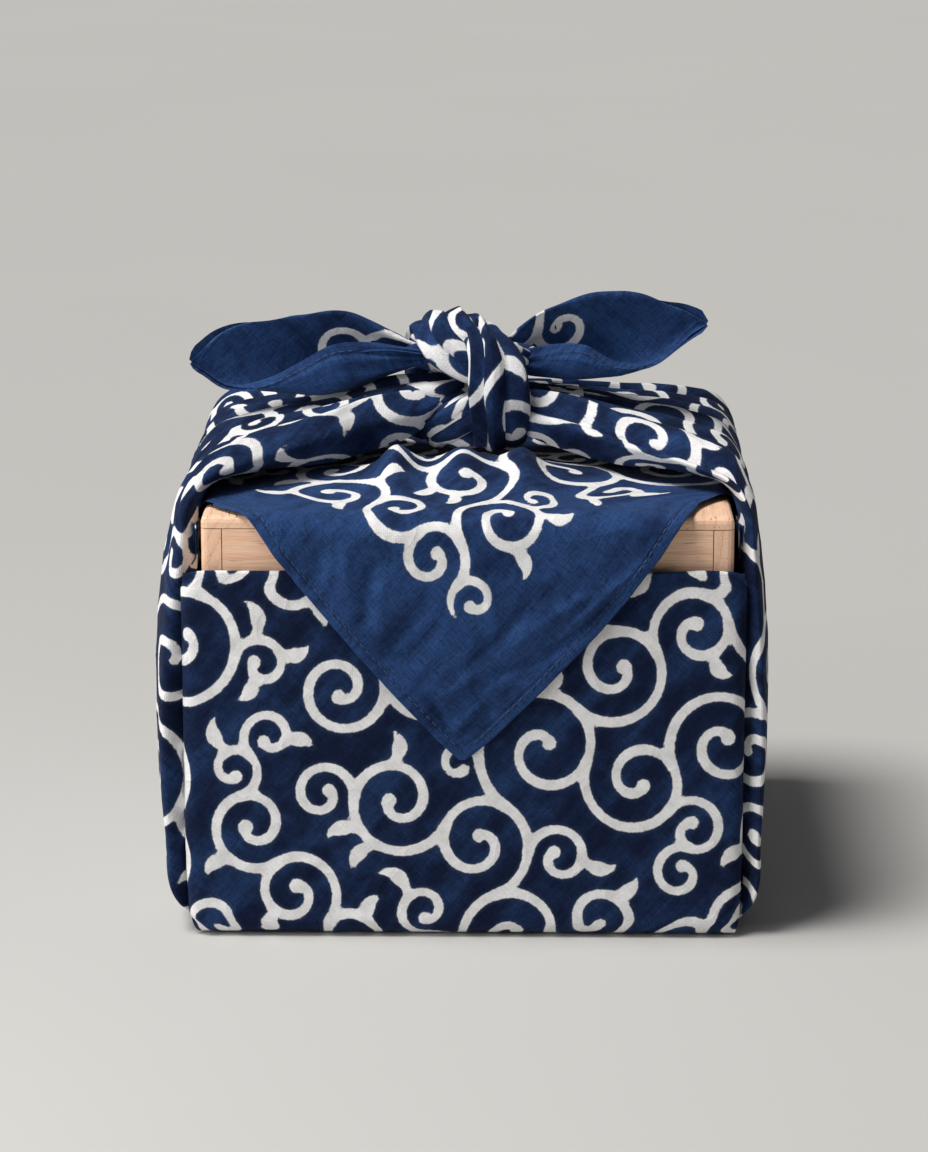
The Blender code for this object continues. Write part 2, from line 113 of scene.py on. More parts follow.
# Ridges that the knot draws up in the top layer: X, reach in X, Y, reach in Y, height
RIDGES = (
    (0.0, 36.0, -41.0, 22.0, 8.0),
    (-26.0, 6.6, -45.0, 21.0, 8.0),
    (-2.5, 6.0, -45.0, 19.0, 4.0),
    (19.0, 6.4, -45.0, 21.0, 5.8),
)
FLAP_WAVES = ((-46.0, 22.0, 0.9), (-8.0, 26.0, 1.2), (38.0, 24.0, 1.3))  # X, reach, swell

# Creases pressed into the flap and the front panel: from X, Z to X, Z, half width, height
FLAP_CREASES = (
    (54.0, 129.0, 25.0, 100.5, 1.8, -2.17),
    (62.0, 138.0, 36.0, 111.0, 2.4, 1.74),
    (26.0, 101.0, 2.0, 93.5, 2.0, -2.03),
    (44.0, 126.0, 14.0, 104.0, 2.1, 1.3),
    (22.0, 122.0, -2.0, 98.0, 1.9, -1.23),
    (11.0, 99.5, -8.0, 88.0, 1.8, 1.74),
    (-12.0, 120.0, -29.0, 101.0, 1.9, -1.3),
    (-30.0, 136.0, -36.5, 111.0, 2.8, -2.03),
    (-41.0, 140.0, -44.0, 120.0, 2.4, 1.3),
    (-48.0, 140.0, -55.0, 126.0, 2.3, -1.45),
    (-15.0, 88.0, -5.0, 74.0, 1.9, -1.59),
    (6.0, 86.0, -3.0, 76.0, 1.7, 1.3),
    (2.0, 140.0, 10.0, 112.0, 3.0, 1.3),
)
PANEL_CREASES = (
    (-78.0, 14.0, -48.0, 50.0, 1.8, -0.45),
    (-66.0, 10.0, -40.0, 40.0, 2.0, 0.40),
    (-88.0, 30.0, -64.0, 62.0, 2.0, 0.40),
    (-50.0, 6.0, -28.0, 30.0, 1.8, -0.40),
    (-90.0, 96.0, -70.0, 120.0, 2.6, 0.40),
    (22.0, 22.0, 58.0, 40.0, 2.4, 0.40),
    (60.0, 92.0, 88.0, 112.0, 2.4, -0.40),
    (34.0, 60.0, 78.0, 70.0, 2.8, 0.35),
)

# Sections of a side end, from the base to the throat of the knot. Each row gives the front
# half, which the back half mirrors: the lip that turns in, the fold, the start of the flat and
# the middle. Columns of a point: distance outward from the centre plane, Y, Z.
SIDE_SECTIONS = (
    ((91.6, -86.0, 0.8), (92.6, -83.8, 0.9), (94.0, -78.0, 1.0), (94.0, 0.0, 1.0)),
    ((95.3, -86.0, 11.0), (99.6, -90.8, 10.0), (102.0, -80.0, 9.5), (101.0, 0.0, 9.0)),
    ((95.0, -87.2, 38.0), (103.0, -92.8, 37.0), (106.0, -83.0, 37.0), (107.0, 0.0, 37.0)),
    ((95.5, -87.2, 76.0), (104.0, -93.5, 76.0), (108.0, -81.0, 76.0), (109.2, 0.0, 76.0)),
    ((94.0, -87.2, 112.0), (101.0, -93.2, 113.0), (106.0, -82.0, 114.0), (106.8, 0.0, 115.0)),
    ((93.0, -82.0, 135.0), (98.2, -88.6, 137.0), (102.5, -77.0, 139.0), (102.8, 0.0, 140.0)),
    ((92.8, -75.0, 148.2), (96.6, -82.5, 149.4), (99.5, -72.0, 153.0), (99.8, 0.0, 153.6)),
    ((89.5, -66.5, 155.0), (92.0, -75.0, 156.6), (93.0, -64.0, 162.0), (93.2, 0.0, 162.4)),
    ((74.0, -49.0, 156.6), (77.0, -60.5, 160.6), (77.0, -51.0, 167.6), (77.0, 0.0, 168.6)),
    ((52.0, -33.0, 155.6), (54.5, -43.5, 163.4), (54.5, -36.0, 171.0), (54.5, 0.0, 172.4)),
    ((35.0, -20.5, 157.6), (36.0, -26.0, 166.0), (36.0, -19.0, 174.6), (36.0, 0.0, 176.0)),
    ((21.0, -13.0, 161.5), (22.0, -18.0, 168.4), (22.0, -13.0, 176.0), (22.0, 0.0, 177.6)),
    ((11.0, -5.0, 168.0), (10.0, -9.0, 171.6), (10.0, -6.0, 176.0), (10.0, 0.0, 177.6)),
)
# Places across the end of a section's points, with one added halfway to the middle
SECTION_PLACES = (-1.0, -0.90, -0.74, -0.37, 0.0)
BRIM_ROW, SLOPE_ROW = 5, 8  # sections at which the pleats begin and are fully pressed in
RIGHT_BULGE = 0.68  # the right end bulges less than the left
REST_WIDTH = 95.5  # distance outward below which nothing bulges
# Valleys between the pleats of the fans, from the front to the back, as places across the end
PLEAT_EDGES = {
    -1: (-0.52, -0.20, 0.04, 0.24, 0.42, 0.58, 0.74),
    1: (-0.83, -0.48, -0.12, 0.12, 0.32, 0.50, 0.66),
}
PLEAT_DEPTH = 0.52  # of a narrow pleat, as a share of its width
WIDE_PLEAT = 13.0  # width at which that share has halved
CREST = 0.62  # power of the sine across a pleat; a smaller one has a rounder top
LEAN = 1.35  # power of the place across a pleat; above 1 its crest lies further back
WALL_CELLS, FAN_CELLS = 65, 51  # rows of cells below the brim and above it
PLEAT_CELLS, ACROSS_CELLS = 5, 42  # columns of a pleat: so many, and so many for each unit
FIRST_PLEAT_CELLS, LAST_PLEAT_CELLS = 24, 14

# Creases over the shoulders: from distance along the roll and up from the brim to the same
SHOULDER_CREASES = {
    -1: ((-64.0, -8.0, -60.0, 44.0, 2.0, -2.2), (-20.0, -14.0, -28.0, 30.0, 3.0, -0.9)),
    1: ((-30.0, -12.0, -36.0, 34.0, 2.4, -1.4), (8.0, -16.0, 2.0, 24.0, 3.0, -0.8)),
}

# The strands through the knot. Columns: middle X, Y, Z, outward direction, half width, half
# thickness. The left end's strand comes up in front as the broad band; the right end's runs
# down behind it, round the back and over the top at the left.
LEFT_STRAND = (
    ((-40.0, -1.0, 171.0), (0.0, -0.3, 1.0), 13.5, 6.0),
    ((-27.0, -2.0, 174.0), (0.0, -0.3, 1.0), 11.0, 6.6),
    ((-13.0, -1.0, 175.0), (0.0, -0.2, 1.0), 9.6, 6.2),
    ((-1.0, 7.0, 170.0), (0.0, 1.0, 0.2), 9.8, 6.0),
    ((8.0, 6.0, 162.5), (0.2, 0.5, -0.8), 10.5, 6.0),
    ((11.0, -5.0, 159.4), (0.2, -0.4, -0.9), 10.6, 5.4),
    ((11.0, -14.2, 165.0), (0.2, -0.9, -0.4), 11.2, 6.0),
    ((10.6, -18.4, 178.0), (0.1, -1.0, 0.0), 12.2, 6.6),
    ((9.4, -16.4, 188.6), (0.3, -0.9, 0.4), 11.2, 6.2),
    ((5.0, -7.6, 196.6), (0.5, -0.4, 0.8), 8.6, 5.8),
    ((0.6, 4.5, 196.8), (0.2, 0.6, 0.8), 9.6, 6.0),
    ((-3.0, 10.5, 190.5), (0.0, 1.0, 0.0), 10.4, 6.2),
    ((-13.0, 5.5, 188.5), (0.0, 0.6, -0.6), 8.0, 6.4),
    ((-21.0, 1.0, 188.2), (0.0, 0.0, -1.0), 5.6, 4.6),
    ((-27.0, 0.0, 187.6), (0.0, 0.0, -1.0), 2.0, 1.8),
)
RIGHT_STRAND = (
    ((40.0, 1.0, 169.0), (0.0, -0.3, 1.0), 13.5, 7.0),
    ((27.0, -1.0, 170.0), (0.0, -0.3, 1.0), 11.0, 8.0),
    ((13.0, -5.0, 169.0), (0.0, -0.6, 0.8), 10.0, 7.0),
    ((0.0, -10.6, 167.0), (0.0, -1.0, 0.0), 10.2, 5.8),
    ((-8.6, -7.4, 162.4), (-0.3, -0.7, -0.6), 9.6, 5.6),
    ((-12.2, 5.0, 160.0), (-0.2, 0.4, -0.9), 10.6, 6.0),
    ((-13.2, 14.0, 166.5), (-0.3, 0.9, -0.4), 11.5, 6.2),
    ((-13.4, 17.8, 179.0), (-0.2, 1.0, 0.0), 11.8, 6.4),
    ((-13.0, 13.0, 192.0), (-0.2, 0.8, 0.5), 12.0, 6.6),
    ((-10.6, 2.6, 199.0), (-0.28, 0.0, 1.0), 11.8, 6.6),
    ((-6.2, -7.8, 195.0), (-0.4, -0.8, 0.5), 12.2, 6.0),
    ((2.0, -9.6, 189.0), (0.0, -1.0, 0.1), 10.4, 5.2),
    ((13.0, -6.0, 188.5), (0.0, -0.6, -0.6), 8.0, 6.2),
    ((20.0, -1.0, 188.4), (0.0, 0.0, -1.0), 5.4, 4.6),
    ((26.0, 0.0, 187.6), (0.0, 0.0, -1.0), 2.0, 1.8),
)
# Pleats round a strand: angles of the valleys, in degrees from the outward direction
STRAND_VALLEYS = {
    -1: (-140.0, -84.0, -4.0, 48.0, 98.0, 152.0),
    1: (-150.0, -88.0, -30.0, 22.0, 76.0, 140.0),
}
STRAND_SHARES = (-0.45, 0.25, -0.12, 0.04, 0.22, 0.42)  # each pleat's place across the flat cloth
STRAND_ROWS, STRAND_CELLS = 86, 10  # cells of each pleat

# Sections of the ears from the knot to the point. Columns: X, height of the top fold, of the
# bottom fold and of the front hem, depth of the pocket, drop of the flap folded away behind.
LEFT_EAR = (
    (-13.0, 190.6, 187.0, 189.6, 4.0, 3.0),
    (-20.0, 193.2, 184.6, 191.6, 7.5, 6.0),
    (-27.0, 196.2, 182.5, 193.2, 12.0, 9.0),
    (-38.0, 201.6, 177.8, 194.6, 15.0, 13.0),
    (-50.0, 203.9, 174.4, 193.4, 16.0, 12.0),
    (-61.0, 203.0, 173.9, 187.6, 15.0, 9.0),
    (-72.0, 201.4, 175.0, 181.4, 12.0, 6.0),
    (-83.0, 199.8, 176.8, 178.2, 8.5, 3.5),
    (-90.0, 196.4, 178.6, 179.0, 6.0, 2.0),
    (-96.5, 191.0, 182.8, 183.0, 2.8, 0.9),
    (-101.3, 186.2, 185.6, 185.7, 0.9, 0.3),
)
RIGHT_EAR = (
    (9.0, 191.0, 187.0, 189.0, 4.0, 3.0),
    (16.0, 196.0, 184.0, 189.4, 7.5, 6.0),
    (23.0, 202.4, 181.4, 192.2, 12.0, 9.0),
    (31.0, 206.4, 180.2, 194.2, 15.0, 13.0),
    (41.0, 209.7, 180.0, 193.6, 16.5, 13.0),
    (51.0, 211.1, 181.0, 187.8, 15.0, 10.0),
    (60.0, 210.7, 184.0, 186.2, 11.0, 6.5),
    (68.0, 208.8, 187.6, 188.0, 8.0, 4.0),
    (75.0, 206.0, 193.0, 193.2, 5.5, 2.0),
    (81.0, 203.2, 197.6, 197.8, 2.6, 0.8),
    (85.2, 200.6, 200.0, 200.1, 0.9, 0.3),
)
EAR_BOTTOM, EAR_TOP = 0.46, 0.90  # places of its two folds across an ear, from the front hem
EAR_PLACES = (0.0, 0.22, 0.40, EAR_BOTTOM, 0.54, 0.68, 0.86, EAR_TOP, 1.0)  # of a section's points
EAR_ROWS, EAR_CELLS = 50, (19, 31, 9)  # cells of the front layer, the back layer and its lap
EAR_START = 414.0  # where the ears begin on the flat cloth, from its middle

# The gussets folded away behind the panels' edges: height, how far in they reach
GUSSET_REACH = ((2.0, 5.0), (30.0, 30.0), (70.0, 58.0), (110.0, 76.0), (150.0, 84.0))
GUSSET_FOOT, GUSSET_ROWS = 3.0, 26  # height of the lowest row, and how many
GUSSET_TOPS = {-1: 145.0, 1: 150.0}  # for the front and the back
GUSSET_SHARES = (0.0, 0.18, 0.38, 0.47, 0.5, 0.53, 0.62, 0.84, 1.0)  # of the route's points
LIP_ROWS = 8  # sections of a side end that a gusset meets
GATHERED = 0.7  # how much cloth a gusset shows for each mm of its route

# The vine print, in mm on the flat cloth
SCROLL_SIZES = (24.0, 19.0, 15.5, 13.0, 11.0, 9.5, 8.2, 7.4, 7.0)  # radii that scrolls may have
SCROLL_GAP = 9.5  # least distance between the middles of two scrolls' strokes
SCROLL_EYE = 2.7  # a scroll's last radius, at its bulb
# Half widths of a small and a large scroll's stroke and bulb: the two radii, the half widths
STROKE_HALVES, BULB_HALVES = ((6.5, 13.0), (1.34, 1.60)), ((6.5, 13.0), (1.98, 2.5))
SCROLL_CLEAR = 6.2  # from a scroll's inner half to the scroll that it springs from
SCROLL_TRIES, LEAF_TRIES = 2600, 9000  # places at which a loose one may start
COMMA_CLEAR, COMMA_NECK_CLEAR, COMMA_OWN_CLEAR = 7.2, 5.5, 5.2  # from others, and from its own scroll
LEAF_ROOM, LEAF_CLEAR = 9.6, 6.8  # round a leaf's middle, and all along it
SMALL_OWNERS = 9000  # commas and leaves are numbered from here, scrolls from 0
PRINT_REACH = 7.0  # distance from the print beyond which it isn't measured
WEB = 1.5  # how far the print's strokes fill the corners where they meet

# The hems and their stitches, in mm
HEM_WIDTH = 3.6
HEM_LAYER = 0.42  # radius of the hem's turn
HEM_BENDS = (50.0, 110.0, 180.0)  # degrees round its turn
STITCH_IN = 3.1  # from the hem's edge to its stitches
FLAP_STITCH_IN = STITCH_IN * 1.35  # across the flap, whose rows cross its hems at a slant
STITCH_PITCH, STITCH_LENGTH, STITCH_THICK = 3.1, 2.2, 0.5
STITCH_PROUD, STITCH_FLAT = 0.12, 0.6  # height of its middle, and its height for its width
STITCH_SIDES = 6
STITCH_RINGS = ((-0.5, 0.25), (-0.38, 0.85), (0.0, 1.0), (0.38, 0.85), (0.5, 0.25))  # place, width
UNSTITCHED_ROWS = 15  # of an ear, inside the knot

MAP_MARGIN = 2.0  # round each patch on the bake's map, in mm before the map is scaled
MAP_SLACK = 1.08  # how much wider the map is than a square of the patches' whole area

# ---------------------------------------------------------------- the stage, in metres
FLOOR_REACH = 12.0
FLOOR_CORNERS = ((-1, -1), (1, -1), (1, 1), (-1, 1))
KEY_PLACE = (-0.6, -0.4, 1.6)
KEY_TURN = (math.radians(8.0), math.radians(-24.0), 0.0)  # from straight down
WINDOW_SIZE = 0.4
WINDOW_PLACE = (-0.48, -0.46, 0.30)
WINDOW_TURN = (math.radians(70.0), 0.0, math.radians(-46.0))
CAMERA_PLACE = (0.0158, -1.2925, 0.4311)
CAMERA_TURN = (math.radians(90 - 14.11), 0.0, 0.0141)


# ---------------------------------------------------------------- curves and noise
def smooth(t):
    """0 below 0, 1 above 1, and 3t^2 - 2t^3 between."""
    t = np.clip(t, 0.0, 1.0)
    return t * t * (3 - 2 * t)


def spline(knots, values, at):
    """Cubic curve through values at increasing knots, its slopes taken from the neighbours."""
    knots, values, at = (np.asarray(x, float) for x in (knots, values, at))
    slopes = np.gradient(values, knots, axis=0)
    low = np.clip(np.searchsorted(knots, at, side="right") - 1, 0, len(knots) - 2)
    shape = (-1,) + (1,) * (values.ndim - 1)
    span = (knots[low + 1] - knots[low]).reshape(shape)
    t = (at - knots[low]).reshape(shape) / span
    return (
        values[low] * (2 * t**3 - 3 * t**2 + 1)
        + values[low + 1] * (3 * t**2 - 2 * t**3)
        + slopes[low] * span * (t**3 - 2 * t**2 + t)
        + slopes[low + 1] * span * (t**3 - t**2)
    )


def lengths(points, axis=0):
    """Distance along a row or column of points, starting at 0."""
    steps = np.linalg.norm(np.diff(points, axis=axis), axis=-1)
    start = np.zeros_like(np.take(steps, [0], axis=axis))
    return np.concatenate([start, np.cumsum(steps, axis=axis)], axis=axis)


def unit(vectors):
    """Vectors made one long."""
    return vectors / np.maximum(np.linalg.norm(vectors, axis=-1, keepdims=True), 1e-9)


def square_to(vectors, others):
    """Unit vectors: what is left of each once its part along the other is taken off."""
    others = unit(others)
    return unit(vectors - (vectors * others).sum(-1, keepdims=True) * others)


def soft_noise(u, v, cell, seed):
    """Smooth random heights of -1 to 1 over a plane, one value to each square of side cell."""
    table = np.random.default_rng(seed).uniform(-1, 1, (64, 64))
    x, y = u / cell, v / cell
    i, j = np.floor(x).astype(int), np.floor(y).astype(int)
    fx, fy = smooth(x - i), smooth(y - j)
    low = table[i % 64, j % 64] * (1 - fx) + table[(i + 1) % 64, j % 64] * fx
    high = table[i % 64, (j + 1) % 64] * (1 - fx) + table[(i + 1) % 64, (j + 1) % 64] * fx
    return low * (1 - fy) + high * fy


def divided(edges, counts):
    """Places from the first edge to the last, the run after each edge cut into so many cells."""
    runs = [np.linspace(a, b, n + 1)[1:] for a, b, n in zip(edges, edges[1:], counts)]
    return np.concatenate([edges[:1], *runs])


def grid_normals(points):
    """Unit normals of a grid of points: along the rows crossed with along the columns."""
    down, across = np.gradient(points, axis=0), np.gradient(points, axis=1)
    return unit(np.cross(across, down))


def creases(flat, seed):
    """Small soft creases, in mm: two crossing sets of long narrow swells at a slant."""
    u, v = flat[..., 0], flat[..., 1]
    slant, other = u * 0.86 + v * 0.5, v * 0.86 - u * 0.5
    long_folds = soft_noise(slant / 3.4, other, 13.0, seed) * 0.34
    short_folds = 1 - np.abs(soft_noise(other / 2.2, slant, 17.0, seed + 1)) * 2
    return long_folds + np.clip(short_folds, 0, 1) ** 3 * 0.42


def crumple(flat, seed):
    """Crushed-cloth relief, in mm: sharp ridge lines at three sizes, wandering and uneven."""
    u, v = flat[..., 0], flat[..., 1]
    wander = soft_noise(u, v, 31.0, seed) * 7.0
    total = 0.0
    for k, (cell, height) in enumerate(((30.0, 0.9), (15.0, 0.5), (8.0, 0.22))):
        lines = soft_noise(u + wander, (v - wander) * 0.7, cell, seed + 1 + k)
        total = total + height * ((1 - np.abs(lines) * 2.2).clip(0, 1) ** 2 - 0.25)
    return total


# ---------------------------------------------------------------- the patches of the sheet
class Patch:
    """A grid of the sheet: points (rows, columns, 3) and each one's place on the flat cloth.

    flat_left and flat_right are the places as seen from the cell before and after a column;
    they differ only where a pleat hides some of the cloth. share weighs its room on the map.
    """

    def __init__(self, points, flat, flat_right=None, flip=False, share=1.0):
        self.points = points
        self.flat_left = flat
        self.flat_right = flat if flat_right is None else flat_right
        self.flip = flip
        self.share = share


def turn_hems(points, flat, facing):
    """Adds turned hems at both ends of the columns: each rolls under and runs back.

    The roll is half a circle of radius HEM_LAYER, square to the edge, and the layer under it
    runs back by HEM_WIDTH, less where the sheet itself is narrower than twice that.
    """
    bend = np.radians(HEM_BENDS)
    normal = grid_normals(points) * facing
    room = np.minimum(HEM_WIDTH, 0.45 * lengths(points, 1)[:, -1])[:, None]
    layer = HEM_LAYER * smooth(room / HEM_WIDTH)
    sides = []
    for first, second in ((0, 2), (-1, -3)):
        edge = points[:, first]
        along = unit(np.gradient(edge, axis=0))
        inward = square_to(points[:, second] - edge, along)
        up = square_to(normal[:, first], inward)
        added = [edge - (inward * math.sin(a) + up * (1 - math.cos(a))) * layer for a in bend]
        added += [added[-1] + inward * room * share for share in (0.5, 1.0)]
        rim = np.repeat(flat[:, first][:, None], len(added), axis=1)
        sides.append((np.stack(added, axis=1), rim))
    (left, left_rim), (right, right_rim) = sides
    return (
        np.concatenate([left[:, ::-1], points, right], axis=1),
        np.concatenate([left_rim, flat, right_rim], axis=1),
    )


def length_path():
    """The length's profile and the leg each point is on: straight runs and round corners."""
    corners = [np.array(row[1:3]) for row in LENGTH_ROUTE]
    points, legs = [corners[0][None]], [0]
    for k in range(1, len(corners)):
        here, spacing = corners[k], LENGTH_ROUTE[k - 1][4]
        if k < len(corners) - 1:
            inward = unit(corners[k - 1] - here)
            outward = unit(corners[k + 1] - here)
            half = math.acos(float(np.clip(inward @ outward, -1, 1))) / 2
            radius = LENGTH_ROUTE[k][3]
            start = here + inward * radius / math.tan(half)
            end = here + outward * radius / math.tan(half)
            centre = here + unit(inward + outward) * radius / math.sin(half)
            rows = SMALL_TURN_ROWS if radius < SMALL_TURN else TURN_ROWS
            share = np.linspace(0, 1, rows)[:, None]
            arc = centre + unit((start - centre) * (1 - share) + (end - centre) * share) * radius
        else:
            arc = here[None]
        last = points[-1][-1]
        count = max(1, round(float(np.linalg.norm(arc[0] - last)) / spacing))
        points += [last + (arc[0] - last) * np.arange(1, count)[:, None] / count, arc]
        legs += [k - 1] * (count - 1) + [k] * len(arc)
    return np.concatenate(points), np.array(legs)


def width_rows(path, legs, along, to_tip):
    """Widths of each row of the length.

    Returns its middle's X, the half width on each side, the radius that the side edges turn at,
    the skirt past the turn, where a hem cuts the run on each side, and the share of the turn
    that is taken.
    """
    y, z = path.T
    hems = np.array(FLAP_HEMS)
    hem_left, hem_right = (np.interp(to_tip, hems[:, 0], hems[:, k]) for k in (1, 2))
    over, front, back = legs >= TOP_LEG, legs == FRONT_LEG, legs == BACK_LEG
    tucked, standing = legs < FRONT_LEG, (legs >= FRONT_LEG) & (legs <= BACK_LEG)
    # Near the point the flap's middle lies halfway between its hems
    middle = (hem_left + hem_right) / 2 * over * (1 - smooth((to_tip - 40.0) / 50.0))
    tuck = np.array(TUCK_HALVES)
    folded = np.interp(z, tuck[:, 0], tuck[:, 1]) - CORNER_NARROWER * (legs < 1)
    folded = np.minimum(folded, along + 1.0)
    # The panels' edges draw in near the floor: part of an ellipse, then a slow rise above it
    foot = np.sqrt(1 - np.clip((9.0 - z) / 8.4, 0, 1) ** 2) * 0.85
    foot = foot + 0.15 * smooth((z - 4.0) / 26.0)
    drawn = FLOOR_HALF + foot[:, None] * (np.array([PANEL_LEFT, PANEL_RIGHT]) - FLOOR_HALF)
    # The back's edges pass into the top's; the front's ease off towards the front fold
    near_top = smooth((z - 124.0) / 24.0) * back
    radius = np.where(over, TOP_TURN, PANEL_TURN + (TOP_TURN - PANEL_TURN) * near_top)
    skirt = PANEL_SKIRT + (TOP_SKIRT - PANEL_SKIRT) * over * smooth((86.0 - y) / 16.0)
    ease = smooth((z - 124.0) / 7.0) * front
    # Edges turn fully on the panels and the top, and lie open at the floor and on the flap
    turn = standing * smooth((z - 0.6) / 7.0) * (1 - 0.85 * ease)
    turn = np.where(over, smooth((y + 86.0) / 14.0), turn)
    halves = []
    for side in (0, 1):
        half = drawn[:, side] - 1.2 * ease
        half = half + (TOP_HALF - half) * near_top
        half = np.where(over, TOP_HALF, half)
        halves.append(np.where(tucked, folded, half))
    none = np.full(len(path), 1e6)
    cuts = [np.where(over, middle - hem_left, none), np.where(over, hem_right - middle, none)]
    return middle, halves, radius, skirt, cuts, turn


def length_patches():
    """The length: each row of the profile is flat across, then turns round its side edges.

    Across, a row runs evenly over the flat, then a quarter circle round the edge and on down a
    short skirt. On the top and the flap the hems cut the run short.
    """
    path, legs = length_path()
    along = lengths(path)
    to_tip = along[-1] - along
    tangent = unit(np.gradient(path, axis=0))
    middle, halves, radius, skirt, cuts, turn = width_rows(path, legs, along, to_tip)
    flat_part, round_part, skirt_part = (
        np.arange(1, n + 1) / n for n in (FLAT_CELLS, EDGE_CELLS, SKIRT_CELLS)
    )
    radius, skirt, share = radius[:, None], skirt[:, None], turn[:, None]
    quarter = radius * math.pi / 2
    xs, depths, runs = [], [], []
    for half, hem in zip(halves, cuts):
        even = half[:, None] - radius
        parts = (even * flat_part, even + quarter * round_part, even + quarter + skirt * skirt_part)
        full = np.concatenate(parts, axis=1)
        run = full * np.minimum(1.0, hem / full[:, -1])[:, None]
        past = np.clip(run - even, 0, None)
        bend = np.clip(past / radius, 0, math.pi / 2)
        beyond = np.clip(past - quarter, 0, None)
        reach = np.where(hem < full[:, -1], hem, half)[:, None]
        level = run * reach / run[:, -1:]
        xs.append(level * (1 - share) + (run - past + radius * np.sin(bend)) * share)
        depths.append((radius * (1 - np.cos(bend)) + beyond) * share)
        runs.append(run)
    zero = np.zeros((len(path), 1))
    x = np.concatenate([-xs[0][:, ::-1], zero, xs[1]], axis=1) + middle[:, None]
    depth = np.concatenate([depths[0][:, ::-1], zero, depths[1]], axis=1)
    u = np.concatenate([-runs[0][:, ::-1], zero, runs[1]], axis=1)
    points = np.stack(
        [x, path[:, :1] - depth * tangent[:, 1:], path[:, 1:] + depth * tangent[:, :1]], axis=-1
    )
    floor = legs == FLOOR_LEG
    floor_middle = np.interp(0.0, path[floor, 0], along[floor])
    v = (along - floor_middle) * HALF_DIAGONAL / (along[-1] - floor_middle)
    # Towards the flap, each row's places are stretched so that its hems lie on the cloth's edge
    hem_here = smooth((124.0 - to_tip) / 16.0)[:, None]
    rim = np.where(u < 0, -u[:, :1], u[:, -1:])
    hem_place = np.maximum(HALF_DIAGONAL - v, 0.5)[:, None]
    u = u * (1 + (hem_place / np.maximum(rim, 0.5) - 1) * hem_here)
    flat = np.stack([u, np.repeat(v[:, None], u.shape[1], axis=1)], axis=-1)
    points = shape_length(points, flat, legs, to_tip)
    front_row = int(np.argmax(legs == FRONT_LEG)) - SEAM_ROWS
    foot_row = int(np.argmax(legs == FLOOR_LEG)) + SEAM_ROWS
    heel_row = int(np.argmax(legs == BACK_LEG)) - SEAM_ROWS
    hem_row = int(np.argmax(to_tip < HEMMED_LENGTH))
    seams = (0, front_row, foot_row, heel_row, hem_row)
    patches = [
        Patch(points[first : last + 1, ::step], flat[first : last + 1, ::step], flip=True)
        for first, last, step in zip(seams, seams[1:], (COARSE, 1, COARSE, 1))
    ]
    hemmed, hemmed_flat = turn_hems(points[hem_row:], flat[hem_row:], -1)
    return [*patches, Patch(hemmed, hemmed_flat, flip=True, share=1.2)], hemmed


def pressed(x, z, table):
    """Creases placed one by one, fading out at both ends.

    Each is height * exp(-(d / width)^2), d being the distance from a slightly bowed line.
    """
    total = 0.0
    for x1, z1, x2, z2, width, height in table:
        long = math.hypot(x2 - x1, z2 - z1)
        along = ((x - x1) * (x2 - x1) + (z - z1) * (z2 - z1)) / long**2
        across = ((x - x1) * (z2 - z1) - (z - z1) * (x2 - x1)) / long
        bowed = across - 1.3 * np.sin(along * 2.6 + x1)
        ends = smooth((along + 0.15) / 0.4) * smooth((1.15 - along) / 0.4)
        total = total + height * np.exp(-((bowed / width) ** 2)) * ends
    return total


def shape_length(points, flat, legs, to_tip):
    """Soft shapes of the length: the panels' slack, the flap's waves, and the knot's ridges."""
    outward = -grid_normals(points)
    x, y, z = np.moveaxis(points, -1, 0)
    leg, to_tip = legs[:, None], to_tip[:, None]
    # Panels: slow swells and pressed creases, with none at the foot and the side edges
    panel = ((leg == FRONT_LEG) | (leg == BACK_LEG)) * smooth((z - 4.0) / 14.0)
    slack = soft_noise(x, z, 46.0, 3) * 0.45 + soft_noise(x + z, x - z, 23.0, 4) * 0.22 + 0.1
    slack = slack + (leg == FRONT_LEG) * pressed(x, z, PANEL_CREASES)
    lift = panel * slack * smooth((93.0 - np.abs(x)) / 10.0)
    # Flap: swells, pressed creases and crushed folds, with none at the point
    hanging = (leg == FLAP_LEG) * smooth((152.0 - z) / 10.0)
    swell = sum(
        height * np.exp(-(((x - middle) / reach) ** 2)) for middle, reach, height in FLAP_WAVES
    )
    lift = lift + hanging * smooth(to_tip / 30.0) * swell
    lift = lift + hanging * smooth(to_tip / 10.0) * pressed(x, z, FLAP_CREASES)
    from_hem = np.minimum(flat[..., 0] - flat[:, :1, 0], flat[:, -1:, 0] - flat[..., 0])
    rough = crumple(flat, 11) * (0.35 + 0.4 * smooth(from_hem / 9.0)) + 0.15
    lift = lift + (leg >= TOP_LEG) * smooth((-82.0 - y) / 12.0) * smooth(to_tip / 12.0) * rough
    lift = lift + panel * smooth((94.0 - np.abs(x)) / 10.0) * crumple(flat, 71) * 0.25
    shaped = points + outward * lift[..., None]
    # Top: what the knot draws up, and small creases everywhere but at the rear
    ridge = sum(
        height * np.exp(-(((x - middle) / reach) ** 2) - ((y - centre) / long_reach) ** 2)
        for middle, reach, centre, long_reach, height in RIDGES
    )
    on_top = (leg == TOP_LEG) * smooth((z - 148.5) / 3.0)
    small = creases(flat, 17) * smooth((y + 92.0) / 8.0) * (y < 60.0) * 0.8
    shaped[..., 2] += on_top * (ridge * smooth((y + 97.0) / 24.0) + small)
    # Front fold: its edge waves and rises a little to the right
    fold = ((leg == FRONT_LEG) | (leg == FRONT_LEG - 1)) * smooth((z - 120.0) / 11.0)
    shaped[..., 2] += fold * (0.7 * smooth((x - 55.0) / 25.0) + 0.25 * np.sin(x / 19.0))
    return shaped


